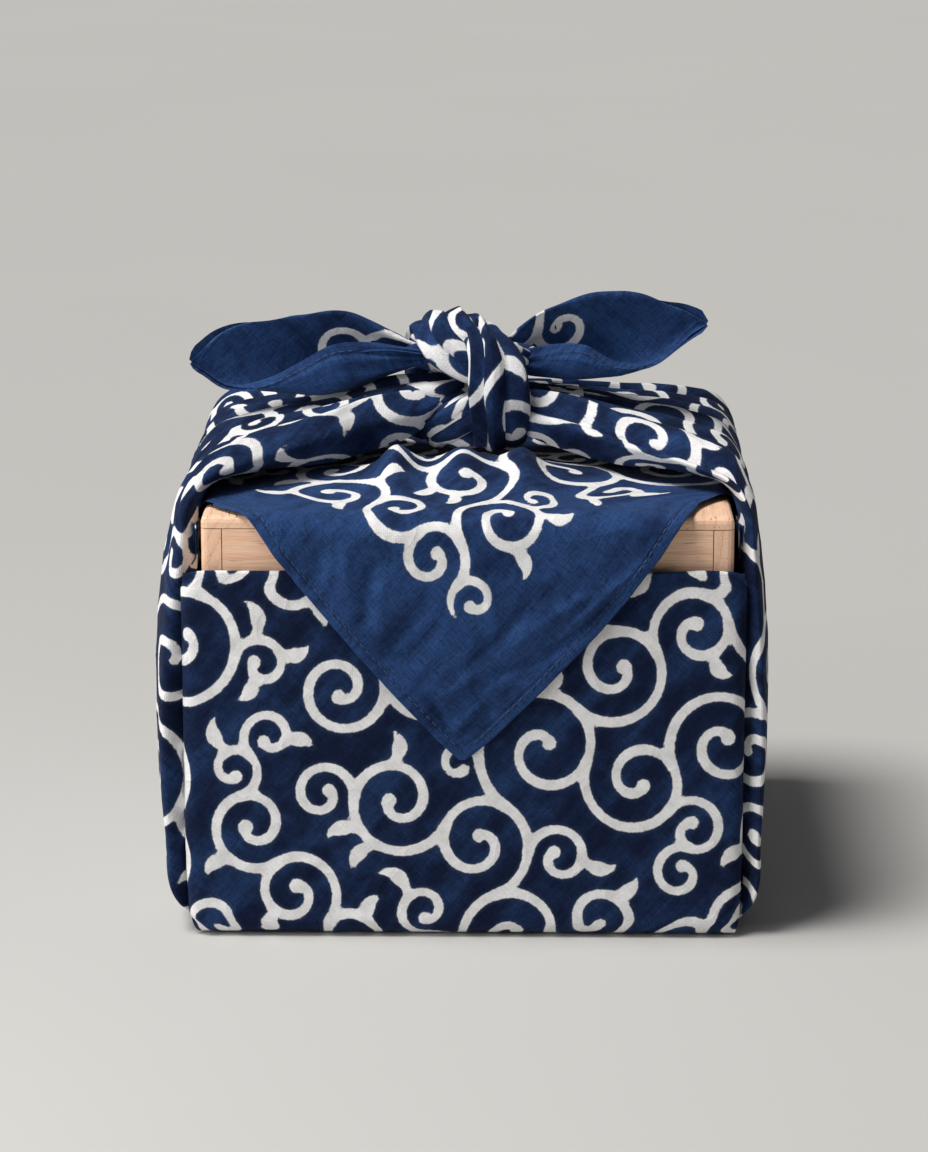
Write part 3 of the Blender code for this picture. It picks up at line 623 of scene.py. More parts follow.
def cells(places, edges, side):
    """Which cell between edges each place is in.

    A place on an edge goes to the cell before it for side "left", after it for side "right".
    """
    return np.clip(np.searchsorted(edges, places, side=side) - 1, 0, len(edges) - 2)


def column_at(places, values, at):
    """Values of a grid's rows at given places across it: (rows, len(at))."""
    return spline(places, values.T, np.asarray(at)).T


def across_pleats(places, edges, run, crest_places):
    """Places across the flat cloth, as seen from the cell before and after each column.

    A column's place is that of its pleat's crest plus the run from the crest, so the cloth in
    the valleys is unseen.
    """
    crest_run = column_at(places, run, (edges[:-1] + edges[1:]) / 2)
    before, after = (cells(places, edges, way) for way in ("left", "right"))
    return [crest_places[..., cell] + run - crest_run[:, cell] for cell in (before, after)]


def bulging(width, side):
    """Distances outward at one end: past REST_WIDTH, the right end has RIGHT_BULGE of the rest."""
    bulge = 1.0 if side < 0 else RIGHT_BULGE
    return np.where(width > REST_WIDTH, REST_WIDTH + (width - REST_WIDTH) * bulge, width)


def end_patch(side):
    """Side wall, shoulder and fan of one end.

    Across: a spline through each section's points. Along: a spline through the sections. Over
    the shoulder valleys are pressed in between the pleats; each pleat rises slowly from front
    to back and falls steeply, and the first is the roll that the side edge makes.
    """
    edges = np.array([-1.0, *PLEAT_EDGES[side], 1.0])
    counts = np.round((edges[1:] - edges[:-1]) * ACROSS_CELLS + PLEAT_CELLS).astype(int)
    counts[[0, -1]] = (FIRST_PLEAT_CELLS, LAST_PLEAT_CELLS)
    places = divided(edges, counts)
    knots = np.array([*SECTION_PLACES, *(-place for place in SECTION_PLACES[-2::-1])])
    sections = []
    for row in SIDE_SECTIONS:
        lip, fold, near, middle = np.array(row)
        quarter = near + (middle - near) * (0.75, 0.5, 0.75)
        half = np.array([lip, fold, near, quarter, middle])
        half[:, 0] = bulging(half[:, 0], side)
        whole = np.concatenate([half, half[-2::-1] * (1, -1, 1)])
        sections.append(spline(knots, whole * (side, 1, 1), places))
    sections = np.array(sections)
    middle = lengths(sections[:, len(places) // 2])
    brim, slope, neck = middle[BRIM_ROW], middle[SLOPE_ROW], middle[-1]
    at = divided((0.0, brim, neck), (WALL_CELLS, FAN_CELLS))
    points = spline(middle, sections, at)
    normal = grid_normals(points) * side
    run = lengths(points, 1)
    rise = smooth((at - brim + 4.0) / (slope - brim))[:, None]
    cell = cells(places, edges, "left")
    phase = (places - edges[cell]) / (edges[cell + 1] - edges[cell])
    edge_run = column_at(places, run, edges)
    width = edge_run[:, cell + 1] - edge_run[:, cell]
    # 1 on a crest and 0 in a valley; the two outermost flanks have no valley to fall into
    ridge = np.sin(math.pi * phase**LEAN) ** CREST
    ridge[(cell == 0) & (phase < 0.55)] = 1.0
    ridge[(cell == len(edges) - 2) & (phase > 0.5)] = 1.0
    # Valleys are deeper in wide pleats, and uneven along their run
    height = np.broadcast_to(at[:, None], width.shape)
    uneven = 1 + 0.3 * soft_noise(height, cell * 37.0, 24.0, 29 + side)
    depth = PLEAT_DEPTH * width / (1 + width / WIDE_PLEAT) * uneven
    points = points - normal * (depth * rise * (1 - ridge))[..., None]
    flats = end_flats(points, at, brim, places, edges, side)
    # Small creases from the wall up, slow slack on the wall only, and the shoulder's creases
    small = creases(flats[0], 23 + side) * 0.65 * smooth((at - 20.0) / 60.0)[:, None]
    slack = soft_noise(places * 80.0, at[:, None], 34.0, 37 + side) * 0.8 * (1 - rise)
    slack = slack * smooth((at - 8.0) / 20.0)[:, None] * smooth((0.72 - np.abs(places)) / 0.1)
    shoulder = pressed(places * 90.0, at[:, None] - brim, SHOULDER_CREASES[side])
    points = points + normal * (small + slack + shoulder)[..., None]
    return Patch(points, *flats, flip=side < 0)


def end_flats(points, at, brim, places, edges, side):
    """Places on the flat cloth of an end, as seen from the cell before and after each column.

    On the wall a column's place is its share of the section's run. On the fan it follows the
    pleats' crests.
    """
    run = lengths(points, 1)
    total = run[:, -1:]
    even = (run / total - 0.5) * total[at <= brim][-1]
    crest_places = column_at(places, even, (edges[:-1] + edges[1:]) / 2)[at <= brim][-1]
    share = smooth((at - brim) / 18.0)[:, None]
    out = np.broadcast_to((at + FLOOR_HALF - 3.0)[:, None], run.shape) * side
    return [
        np.stack([out, even * (1 - share) + inside * share], axis=-1)
        for inside in across_pleats(places, edges, run, crest_places)
    ]


def strand_patch(table, side):
    """A strand: ellipses along a smooth route, pressed in at the valleys between its pleats.

    The route's length is counted back from the start of the ear on the flat cloth.
    """
    middles, outward = (np.array([row[k] for row in table]) for k in (0, 1))
    sizes = np.array([row[2:] for row in table])
    along = lengths(middles)
    at = np.linspace(0, along[-1], STRAND_ROWS)
    centre, normal, size = (spline(along, values, at) for values in (middles, outward, sizes))
    tangent = unit(np.gradient(centre, axis=0))
    normal = square_to(normal, tangent)
    width = np.cross(normal, tangent)
    valleys = np.radians(STRAND_VALLEYS[side])
    edges = np.concatenate([valleys, [valleys[0] + 2 * math.pi]])
    angle = divided(edges, [STRAND_CELLS] * len(valleys))
    cell = cells(angle, edges, "left")
    phase = (angle - edges[cell]) / (edges[cell + 1] - edges[cell])
    uneven = 1 + 0.35 * soft_noise(at[:, None] + 0 * angle, cell * 50.0, 16.0, 41 + side)
    # Pleats wander along the strand and lean, and their valleys are shallower at its two sides
    # and deeper where it passes over the top of the knot
    over = smooth((centre[:, 2:] - 186.0) / 8.0)
    turn = angle + 0.12 * np.sin(at / 21.0)[:, None] + 0.10 * np.sin(2 * math.pi * phase)
    rim = 1 - 0.55 * np.abs(np.sin(turn)) ** 3
    press = 1 - (0.36 + 0.10 * over) * uneven * rim * (1 - np.sin(math.pi * phase) ** 0.6)
    points = (
        centre[:, None]
        + width[:, None] * (size[:, 0, None] * np.sin(turn) * press)[..., None]
        + normal[:, None] * (size[:, 1, None] * np.cos(turn) * press)[..., None]
    )
    run = lengths(points, 1)
    out = (EAR_START - along[-1] + at)[:, None]
    crest_places = np.array(STRAND_SHARES) * (HALF_DIAGONAL - out)
    flats = [
        np.stack([np.broadcast_to(out, run.shape) * side, inside], axis=-1)
        for inside in across_pleats(angle, edges, run, crest_places)
    ]
    flats[0][:, 0] = flats[1][:, 0]
    pucker = soft_noise(run, at[:, None], 5.0, 47 + side) * (0.2 + 0.5 * over)
    points = points - grid_normals(points) * pucker[..., None]
    points[:, -1] = points[:, 0]
    return Patch(points, *flats, flip=True, share=0.9)


def ear_patch(table, side):
    """An ear: a leaf folded along its bottom, with a short front layer and a tall back layer.

    Each section is a spline from the front hem, down the front layer, round the bottom, up the
    back layer and over its top fold to the hem behind.
    """
    places = divided((0.0, EAR_BOTTOM, EAR_TOP, 1.0), EAR_CELLS)
    x, top, bottom, front, depth, drop = np.array(table).T
    rise, lap = top - bottom, front - bottom
    outline = (
        (-0.50 * depth, front),
        (-0.70 * depth, bottom + lap * 0.55),
        (-0.45 * depth, bottom + np.minimum(1.2, lap * 0.2)),
        (-0.05 * depth, bottom),
        (0.30 * depth, bottom + rise * 0.10),
        (0.48 * depth, bottom + rise * 0.50),
        (0.16 * depth, top - 0.3),
        (0.24 * depth, top),
        (0.24 * depth + np.minimum(0.34 * depth, 0.45 * drop), top - drop),
    )
    sections = np.array([np.stack([x, y, z], axis=1) for y, z in outline])
    across = spline(EAR_PLACES, sections, places).transpose(1, 0, 2)
    along = np.abs(x)
    at = np.linspace(along[0], along[-1], EAR_ROWS)
    points = spline(along, across, at)
    run = lengths(points, 1)
    from_tip = (along[-1] - at + 1.0)[:, None]
    bottom_column, top_column = EAR_CELLS[0], EAR_CELLS[0] + EAR_CELLS[1]
    middle = (run[:, bottom_column] * 0.4 + run[:, top_column] * 0.6)[:, None]
    layers = (run - from_tip, run - middle, from_tip - (run[:, -1:] - run))
    out = np.broadcast_to(HALF_DIAGONAL - from_tip, run.shape) * side
    column = np.arange(len(places))
    flats = []
    for last_front, last_main in ((bottom_column, top_column), (bottom_column - 1, top_column - 1)):
        behind = np.where(column <= last_main, layers[1], layers[2])
        flats.append(np.stack([out, np.where(column <= last_front, layers[0], behind)], axis=-1))
    normal = grid_normals(points)
    # Gathers run out of the knot and fade; slack and small creases fade towards the point
    root = smooth((from_tip - 48.0) / 30.0)
    gathers = np.sin(places * 46.0 + at[:, None] / 14.0) * root * 0.8
    slack = soft_noise(np.broadcast_to(at[:, None], run.shape), run, 15.0, 53 + side)
    slack = slack * smooth(from_tip / 14.0)
    small = creases(flats[0], 59 + side) * 0.7 * smooth(from_tip / 12.0)
    points = points + normal * (gathers + slack * 0.8 + small)[..., None]
    hemmed, left = turn_hems(points, flats[0], side)
    _, right = turn_hems(points, flats[1], side)
    return Patch(hemmed, left, right, flip=side < 0, share=0.9), hemmed


def gusset_patch(side, end):
    """The cloth folded away at a corner: from the panel's edge in along the box and back out.

    side is the sign of X and end the sign of Y. Each row is level; its route runs in beside the
    box's wall, turns back and comes forward again to the lip of the side wall.
    """
    rows = np.linspace(GUSSET_FOOT, GUSSET_TOPS[end], GUSSET_ROWS)
    reach = np.interp(rows, *np.array(GUSSET_REACH).T)
    lips = np.array(SIDE_SECTIONS)[:LIP_ROWS, 0]
    lip_x = bulging(np.interp(rows, lips[:, 2], lips[:, 0]), side)
    lip_y = -np.interp(rows, lips[:, 2], lips[:, 1])
    half = (PANEL_LEFT if side < 0 else PANEL_RIGHT) - 2.0 * (1 - smooth((rows - 6.0) / 24.0))
    edge_y = -LENGTH_ROUTE[FRONT_LEG][1] - PANEL_TURN - PANEL_SKIRT
    # Above the front fold no panel's edge hides the gusset, so it starts from the box's wall
    free = smooth((rows - 128.0) / 6.0) * (end < 0)
    route = (
        (half + (93.0 - half) * free, edge_y - 3.0 * free),
        (93.6, 80.0),
        (92.0, 91.0 - reach * 0.6),
        (91.9, 91.0 - reach),
        (93.0, 90.0 - reach),
        (94.0, 91.0 - reach),
        (94.2, 91.0 - reach * 0.6),
        (94.6, 82.0),
        (lip_x, lip_y),
    )
    stations = np.array([np.stack(np.broadcast_arrays(x, y, rows), axis=1) for x, y in route])
    inner_fold = [0.47, 0.485, 0.5, 0.515, 0.53]
    at = np.concatenate([np.linspace(0, 0.44, 9), inner_fold, np.linspace(0.57, 1, 9)])
    points = spline(GUSSET_SHARES, stations, at).transpose(1, 0, 2) * (side, end, 1)
    run = lengths(points, 1)
    u = side * (half[:, None] + run * GATHERED)
    v = end * (92.0 + rows[:, None] + run * GATHERED)
    return Patch(points, np.stack([u, v], axis=-1), flip=side * end > 0, share=0.15)


# ---------------------------------------------------------------- the vine print
class Ground:
    """The flat cloth as the vine takes it up, on a fine grid.

    Each spot knows how far it lies from the nearest stroke, whose stroke that is, and how far
    from the nearest of the others.
    """

    step, reach = 1.5, 15.0  # the grid's spacing, and how far round itself a stroke is marked

    def __init__(self, half):
        self.half = half
        count = int(2 * half / self.step) + 2
        self.nearest = np.full((count, count), 99.0)
        self.second = np.full((count, count), 99.0)
        self.owner = np.full((count, count), -1)

    def spots(self, route):
        """The grid's indices of each point of a route."""
        found = np.rint((route + self.half) / self.step).astype(int)
        return np.clip(found, 0, len(self.nearest) - 1)

    def room(self, route, parent=-1):
        """Distance from each point of a route to the nearest stroke that isn't its parent."""
        i, j = self.spots(route).T
        return np.where(self.owner[i, j] == parent, self.second[i, j], self.nearest[i, j])

    def take(self, route, owner):
        """Marks a stroke as drawn."""
        low, high = self.spots(np.array([route.min(0) - self.reach, route.max(0) + self.reach]))
        window = (slice(low[0], high[0] + 1), slice(low[1], high[1] + 1))
        x, y = (np.arange(low[k], high[k] + 1) * self.step - self.half for k in (0, 1))
        away = np.hypot(x[:, None, None] - route[:, 0], y[None, :, None] - route[:, 1]).min(2)
        nearest, second, whose = self.nearest[window], self.second[window], self.owner[window]
        ahead = away < nearest
        second[:] = np.where(ahead, nearest, np.minimum(second, away))
        whose[:] = np.where(ahead, owner, whose)
        nearest[:] = np.minimum(nearest, away)


def between(first, second):
    """Least distance between two routes' points."""
    return np.hypot(*(first[:, None] - second[None]).transpose(2, 0, 1)).min()


def scroll_turns(radius):
    """How far a scroll of this size winds, in radians."""
    turns = np.radians((280.0, 350.0, 440.0, 510.0, 560.0))
    return np.interp(radius, (6.5, 9.0, 13.0, 19.0, 26.0), turns)


def scroll_ring(radius, travel):
    """A scroll's distance from its centre after some travel: an even fall to its bulb."""
    share = travel / scroll_turns(radius)
    return radius + (SCROLL_EYE - radius) * share**1.15


def scroll_stroke(x, y, radius, start, hand, rooted):
    """A scroll: a spiral that winds in evenly to a round bulb. A loose one starts at a point."""
    end = scroll_turns(radius)
    travel = np.linspace(0.0, end, 18 + int(radius * 1.3))
    ring = scroll_ring(radius, travel)
    angle = start + hand * travel
    route = np.stack([x + ring * np.cos(angle), y + ring * np.sin(angle)], axis=1)
    thick, bulb = (np.interp(radius, *halves) for halves in (STROKE_HALVES, BULB_HALVES))
    half = thick + 0.12 * np.sin(travel * 2.3 + x)
    half = half + (bulb - thick) * smooth((travel - end + 0.5) / 0.5)
    if not rooted:
        half = half * np.clip(travel * radius / 9.0 + 0.12, 0, 1) ** 0.7
    return route, half


def comma_stroke(origin, heading, bend, length):
    """A comma: it leaves a stroke by a thin neck, swells and bends over to a point."""
    share = np.linspace(0, 1, 14)
    way = heading + bend * share**1.5
    steps = np.stack([np.cos(way), np.sin(way)], axis=1) * length / 13
    route = origin + np.concatenate([[[0, 0]], np.cumsum(steps[:-1], axis=0)])
    half = 1.2 + 1.5 * smooth((share - 0.1) / 0.45)
    return route, half * np.clip((1 - share) / 0.5, 0, 1) ** 0.9


def leaf_stroke(origin, heading, length):
    """A loose leaf: pointed at both ends, with a slight curve."""
    share = np.linspace(-0.5, 0.5, 10)
    across = np.array([-math.sin(heading), math.cos(heading)])
    along = np.array([math.cos(heading), math.sin(heading)])
    route = origin + length * (share[:, None] * along + (share[:, None] ** 2 - 0.08) * 0.6 * across)
    return route, 2.3 * np.cos(math.pi * share) ** 0.8 + 0.1


def grow_scrolls(rng, ground, field):
    """Scrolls: each springs from the outside of another and turns the other way round.

    So do two meshing gears, and the vine runs on smoothly. A scroll keeps SCROLL_GAP from all
    others but the one it springs from, and its inner half keeps SCROLL_CLEAR from that one.
    Rows of scrolls: X, Y, radius, starting angle, way round.
    """
    scrolls, strokes = [], []

    def put(x, y, radius, start, hand, parent=-1):
        """Draws a scroll if it has room, and says whether it had."""
        route, half = scroll_stroke(x, y, radius, start, hand, parent >= 0)
        if np.abs(route).sum(1).max() > field - 2.5:
            return False
        if ground.room(route, parent).min() < SCROLL_GAP:
            return False
        inner_half = route[len(route) // 2 :]
        if parent >= 0 and between(inner_half, strokes[parent][0]) < SCROLL_CLEAR:
            return False
        ground.take(route, len(scrolls))
        scrolls.append((x, y, radius, start, hand))
        strokes.append((route, half))
        return True

    def spring(parent, travel, radius):
        """Puts a scroll against the outside of another, after some travel along that one."""
        px, py, pr, start, hand = scrolls[parent]
        angle, reach = start + hand * travel, scroll_ring(pr, travel) + radius
        x, y = px + reach * math.cos(angle), py + reach * math.sin(angle)
        return put(x, y, radius, angle + math.pi, -hand, parent)

    def branch(first):
        """Lets scrolls spring from this one and from all that come after it."""
        while first < len(scrolls):
            radius = scrolls[first][2]
            span = min(scroll_turns(radius) - 1.3, 5.0)
            made, most = 0, 4 if radius > 15 else 3 if radius > 10 else 2 if radius > 8.5 else 1
            for travel in rng.permutation(np.linspace(9.0 / radius, span, 9)):
                sizes = np.sort(rng.permutation(SCROLL_SIZES)[:4])[::-1]
                if any(spring(first, travel, size) for size in sizes):
                    made += 1
                if made == most:
                    break
            first += 1

    put(2.0, field - 14.0, 8.6, 2.4, 1.0)  # in the corner that hangs down as the flap's point
    branch(0)
    for spot in rng.uniform(-field, field, (SCROLL_TRIES, 2)):
        for radius in (19.0, 13.0, 9.0, 7.4):
            if put(*spot, radius, rng.uniform(0, 6.28), rng.choice((-1.0, 1.0))):
                branch(len(scrolls) - 1)
                break
    for size in (9.5, 8.0, 7.0):
        for parent in rng.permutation(len(scrolls)):
            radius = scrolls[parent][2]
            if radius < 8.5:
                continue
            last = min(scroll_turns(radius) - 0.9, 5.4)
            for travel in np.arange(7.0 / radius, last, 4.0 / radius):
                spring(parent, travel, size)
    return scrolls, strokes


def grow_commas(rng, ground, field, scrolls, strokes):
    """Commas along every scroll: up to three or four of them, on both sides of a large one.

    Each leaves its scroll at a slant, ahead or back, and bends away from it.
    """
    for parent in rng.permutation(len(scrolls)):
        x, y, radius, start, hand = scrolls[parent]
        body = strokes[parent][0]
        made, most = 0, 4 if radius > 15 else 3
        places = np.arange(5.0 / radius, scroll_turns(radius) - 1.1, 4.0 / radius)
        for travel in rng.permutation(places):
            angle = start + hand * travel
            ring = scroll_ring(radius, travel)
            origin = np.array([x + ring * math.cos(angle), y + ring * math.sin(angle)])
            side = -1.0 if ring > 10.0 and rng.uniform() < 0.4 else 1.0
            ahead = 1.0 if rng.uniform() < 0.7 else -1.0
            leave = math.radians(rng.uniform(26.0, 52.0))
            heading = angle + hand * ahead * (math.pi / 2 - side * leave)
            bend = -hand * ahead * side * math.radians(rng.uniform(85.0, 125.0))
            for length in (16.0, 14.0, 12.0):
                route, half = comma_stroke(origin, heading, bend, length)
                free = ground.room(route[3:], parent).min() > COMMA_CLEAR
                free = free and ground.room(route[:3], parent).min() > COMMA_NECK_CLEAR
                inside = np.abs(route).sum(1).max() < field
                if free and inside and between(route[8:], body) > COMMA_OWN_CLEAR:
                    strokes.append((route, half))
                    ground.take(route, len(strokes) + SMALL_OWNERS)
                    made += 1
                    break
            if made == most:
                break


def scatter_leaves(rng, ground, field, strokes):
    """Loose leaves in the gaps that are left."""
    for spot in rng.uniform(-field, field, (LEAF_TRIES, 2)):
        if np.abs(spot).sum() < field - 7.0 and ground.room(spot[None])[0] > LEAF_ROOM:
            route, half = leaf_stroke(spot, rng.uniform(0, 6.28), rng.uniform(9.0, 11.5))
            if ground.room(route).min() > LEAF_CLEAR:
                strokes.append((route, half))
                ground.take(route, len(strokes) + SMALL_OWNERS)


def draw_vine(seed):
    """Every stroke of the print: scrolls, then commas and loose leaves where there is room."""
    rng = np.random.default_rng(seed)
    field = HALF_DIAGONAL - BORDER * math.sqrt(2)
    ground = Ground(field + 20.0)
    scrolls, strokes = grow_scrolls(rng, ground, field)
    grow_commas(rng, ground, field, scrolls, strokes)
    scatter_leaves(rng, ground, field, strokes)
    return strokes


def print_distance(flat, strokes):
    """Distance from each flat place to the nearest stroke's edge, negative inside a stroke.

    Two strokes that meet blend as p(d1, d2) = min(d1, d2) - h^2 / (4 WEB), where h is what
    WEB has over |d1 - d2|, which leaves a small web in the corner between them.
    """
    shape = flat.shape[:-1]
    places = flat.reshape(-1, 2)
    nearest = np.full(len(places), PRINT_REACH)
    order = np.argsort(places[:, 0], kind="stable")
    sorted_x = places[order, 0]
    for route, half in strokes:
        low, high = route.min(0) - PRINT_REACH - 3, route.max(0) + PRINT_REACH + 3
        first, last = np.searchsorted(sorted_x, (low[0], high[0]))
        chosen = order[first:last]
        y = places[chosen, 1]
        chosen = chosen[(y > low[1]) & (y < high[1])]
        if not len(chosen):
            continue
        spot = places[chosen][:, None]
        step = np.diff(route, axis=0)
        from_start = spot - route[None, :-1]
        share = (from_start * step).sum(-1) / np.maximum((step**2).sum(-1), 1e-9)
        share = np.clip(share, 0, 1)
        away = np.linalg.norm(from_start - share[..., None] * step, axis=-1)
        thick = half[:-1] + (half[1:] - half[:-1]) * share
        here, known = (away - thick).min(1), nearest[chosen]
        web = np.clip(WEB - np.abs(here - known), 0, None) ** 2 / (4 * WEB)
        nearest[chosen] = np.minimum(here, known) - web
    return nearest.reshape(shape)


# ---------------------------------------------------------------- mesh building
def corner_values(before, after):
    """Values at each cell's four corners: after at its first column, before at its second."""
    return np.stack([after[:-1, :-1], before[:-1, 1:], before[1:, 1:], after[1:, :-1]], axis=2)


def map_places(patches):
    """Lays the patches out on the bake's map in rows, each at its own scale, within 0 to 1."""
    sizes = []
    for patch in patches:
        tall = lengths(patch.points, 0)[-1].mean()
        wide = lengths(patch.points, 1)[:, -1].max()
        sizes.append(np.array([wide, tall]) * math.sqrt(patch.share) + 2 * MAP_MARGIN)
    width = math.sqrt(sum(wide * tall for wide, tall in sizes)) * MAP_SLACK
    x = y = row = 0.0
    corners = [None] * len(patches)
    for k in sorted(range(len(patches)), key=lambda i: -sizes[i][1]):
        if x + sizes[k][0] > width:
            x, y, row = 0.0, y + row, 0.0
        corners[k] = (x, y)
        x, row = x + sizes[k][0], max(row, sizes[k][1])
    whole = max(width, y + row)
    maps = []
    for patch, corner, size in zip(patches, corners, sizes):
        across, down = lengths(patch.points, 1), lengths(patch.points, 0)
        u = across / across[:, -1:].max()
        v = down.mean(1, keepdims=True) / down[-1].mean() + 0 * u
        inside = np.stack([u, v], axis=-1) * (size - 2 * MAP_MARGIN)
        maps.append((np.array(corner) + MAP_MARGIN + inside) / whole)
    return maps


def smooth_mesh(name, points, faces):
    """A smooth-shaded mesh, from points in millimetres."""
    mesh = bpy.data.meshes.new(name)
    mesh.from_pydata((points * MM).tolist(), [], faces)
    mesh.polygons.foreach_set("use_smooth", np.ones(len(mesh.polygons), bool))
    mesh.update()
    return mesh


def sheet_mesh(name, patches, strokes):
    """One mesh of all patches, with the print's distance and the flat places at its corners."""
    points, faces, prints, places, maps = [], [], [], [], []
    count = 0
    for patch, chart in zip(patches, map_places(patches)):
        rows, columns = patch.points.shape[:2]
        index = count + np.arange(rows * columns).reshape(rows, columns)
        count += rows * columns
        quads = np.stack([index[:-1, :-1], index[:-1, 1:], index[1:, 1:], index[1:, :-1]], axis=2)
        left = right = print_distance(patch.flat_left, strokes)
        if patch.flat_right is not patch.flat_left:
            right = print_distance(patch.flat_right, strokes)
        drawn = corner_values(left, right)
        where = corner_values(patch.flat_left, patch.flat_right)
        mapped = corner_values(chart, chart)
        if patch.flip:
            quads, drawn, where, mapped = (a[:, :, ::-1] for a in (quads, drawn, where, mapped))
        points.append(patch.points.reshape(-1, 3))
        faces.append(quads.reshape(-1, 4))
        prints.append(drawn.reshape(-1))
        places.append(where.reshape(-1, 2))
        maps.append(mapped.reshape(-1, 2))
    mesh = smooth_mesh(name, np.concatenate(points), np.concatenate(faces).tolist())
    mesh.attributes.new("print_distance", "FLOAT", "CORNER")
    mesh.attributes["print_distance"].data.foreach_set("value", np.concatenate(prints))
    for title, values in (("OFBake", maps), ("FlatCloth", places)):
        layer = mesh.uv_layers.new(name=title)
        layer.uv.foreach_set("vector", np.concatenate(values).ravel())
    return mesh


def stitch_mesh(name, routes):
    """Hem stitches: short rounded bars laid end to end along routes of points and normals.

    A bar has a ring of points at each place of STITCH_RINGS along it. A ring is a circle of
    that ring's width, flattened to STITCH_FLAT of its height. Quads join the rings, and a
    six-sided face closes each end.
    """
    turn = np.linspace(0, 2 * math.pi, STITCH_SIDES + 1)[:-1, None]
    place, wide = (values[:, None] for values in np.array(STITCH_RINGS).T)
    bars = []
    for route, normal in routes:
        run = lengths(route)
        middles = np.arange(STITCH_PITCH, run[-1] - STITCH_PITCH, STITCH_PITCH)
        centre = spline(run, route, middles)[:, None]
        along = unit(spline(run, np.gradient(route, axis=0), middles))[:, None]
        up = square_to(spline(run, normal, middles)[:, None], along)
        side = np.cross(along, up)
        centres = centre + along * place * STITCH_LENGTH + up * STITCH_PROUD
        circle = np.cos(turn) * side + np.sin(turn) * STITCH_FLAT * up
        bars.append(centres[:, :, None] + circle[:, None] * wide[:, None] * STITCH_THICK / 2)
    points = np.concatenate(bars)
    index = np.arange(points.size // 3).reshape(points.shape[:3])
    after = np.roll(index, -1, axis=2)
    sides = np.stack([index[:, :-1], after[:, :-1], after[:, 1:], index[:, 1:]], axis=-1)
    ends = np.concatenate([index[:, 0, ::-1], index[:, -1]])
    faces = [*sides.reshape(-1, 4).tolist(), *ends.tolist()]
    return smooth_mesh(name, points.reshape(-1, 3), faces)


def hem_routes(grid, inward, first_row, facing):
    """Where the stitches of a hemmed grid run: inside both edges by inward, and their normals.

    They run from first_row on, in rows that are wide enough. The turned hem's own columns are
    left out, and so are all past near, which is further in than any stitch.
    """
    hem, near = len(HEM_BENDS) + 2, 40  # columns
    normal = grid_normals(grid) * facing
    routes = []
    for columns in (slice(hem, None), slice(-hem - 1, None, -1)):
        side = grid[:, columns]
        run = lengths(side, 1)
        rows = [i for i in range(first_row, len(grid)) if run[i, -1] > 3 * inward]
        spot = [spline(run[i, :near], side[i, :near], [inward])[0] for i in rows]
        up = [spline(run[i, :near], normal[i, columns][:near], [inward])[0] for i in rows]
        routes.append((np.array(spot), np.array(up)))
    return routes


def put_in_scene(name, data, place=(0.0, 0.0, 0.0), turn=(0.0, 0.0, 0.0)):
    """Adds an object with this data to the scene, at a place and turned by three angles."""
    made = bpy.data.objects.new(name, data)
    made.location, made.rotation_euler = place, turn
    bpy.context.scene.collection.objects.link(made)
    return made


def add_piece(name, mesh, material):
    """Adds a mesh to the scene with its one material."""
    mesh.materials.append(material)
    return put_in_scene(name, mesh)


# ---------------------------------------------------------------- materials
def new_material(name):
    """A material, its node tree and its Principled shader."""
    material = bpy.data.materials.new(name)
    material.use_nodes = True
    tree = material.node_tree
    return material, tree, tree.nodes["Principled BSDF"]


def node(tree, kind, **settings):
    """A new node with these properties set."""
    made = tree.nodes.new(kind)
    for key, value in settings.items():
        setattr(made, key, value)
    return made


def join(tree, source, target):
    """Links an output to an input."""
    tree.links.new(source, target)


def set_inputs(made, values):
    """Sets a node's own inputs, given as names and values."""
    for name, value in values.items():
        made.inputs[name].default_value = value


def maths(tree, operation, first, second=None):
    """A Math node over sockets or numbers; returns its output."""
    made = node(tree, "ShaderNodeMath", operation=operation)
    for socket, value in zip(made.inputs, (first, second)):
        if value is None:
            continue
        if isinstance(value, (int, float)):
            socket.default_value = value
        else:
            join(tree, value, socket)
    return made.outputs[0]


def weighted(tree, *terms):
    """The sum of values, each given with its weight."""
    total = None
    for value, weight in terms:
        part = maths(tree, "MULTIPLY", value, weight)
        total = part if total is None else maths(tree, "ADD", total, part)
    return total


def spread(tree, value, low, high, to_low=0.0, to_high=1.0):
    """A smooth Map Range node; returns its output."""
    made = node(tree, "ShaderNodeMapRange", interpolation_type="SMOOTHSTEP")
    join(tree, value, made.inputs["Value"])
    set_inputs(made, {"From Min": low, "From Max": high, "To Min": to_low, "To Max": to_high})
    return made.outputs["Result"]


def noise(tree, vector, scale, detail=2.0, rough=0.5):
    """A Noise node over a vector; returns its value."""
    made = node(tree, "ShaderNodeTexNoise")
    join(tree, vector, made.inputs["Vector"])
    set_inputs(made, {"Scale": scale, "Detail": detail, "Roughness": rough})
    return made.outputs["Fac"]


def stretched(tree, vector, factors):
    """A vector with each of its parts multiplied by its own factor."""
    made = node(tree, "ShaderNodeVectorMath", operation="MULTIPLY")
    made.inputs[1].default_value = factors
    join(tree, vector, made.inputs[0])
    return made.outputs[0]


def turned(tree, vector, degrees):
    """A vector turned round Z."""
    made = node(tree, "ShaderNodeVectorRotate", rotation_type="Z_AXIS")
    made.inputs["Angle"].default_value = math.radians(degrees)
    join(tree, vector, made.inputs["Vector"])
    return made.outputs[0]


def parts(tree, vector):
    """A vector's three parts."""
    made = node(tree, "ShaderNodeSeparateXYZ")
    join(tree, vector, made.inputs[0])
    return made.outputs


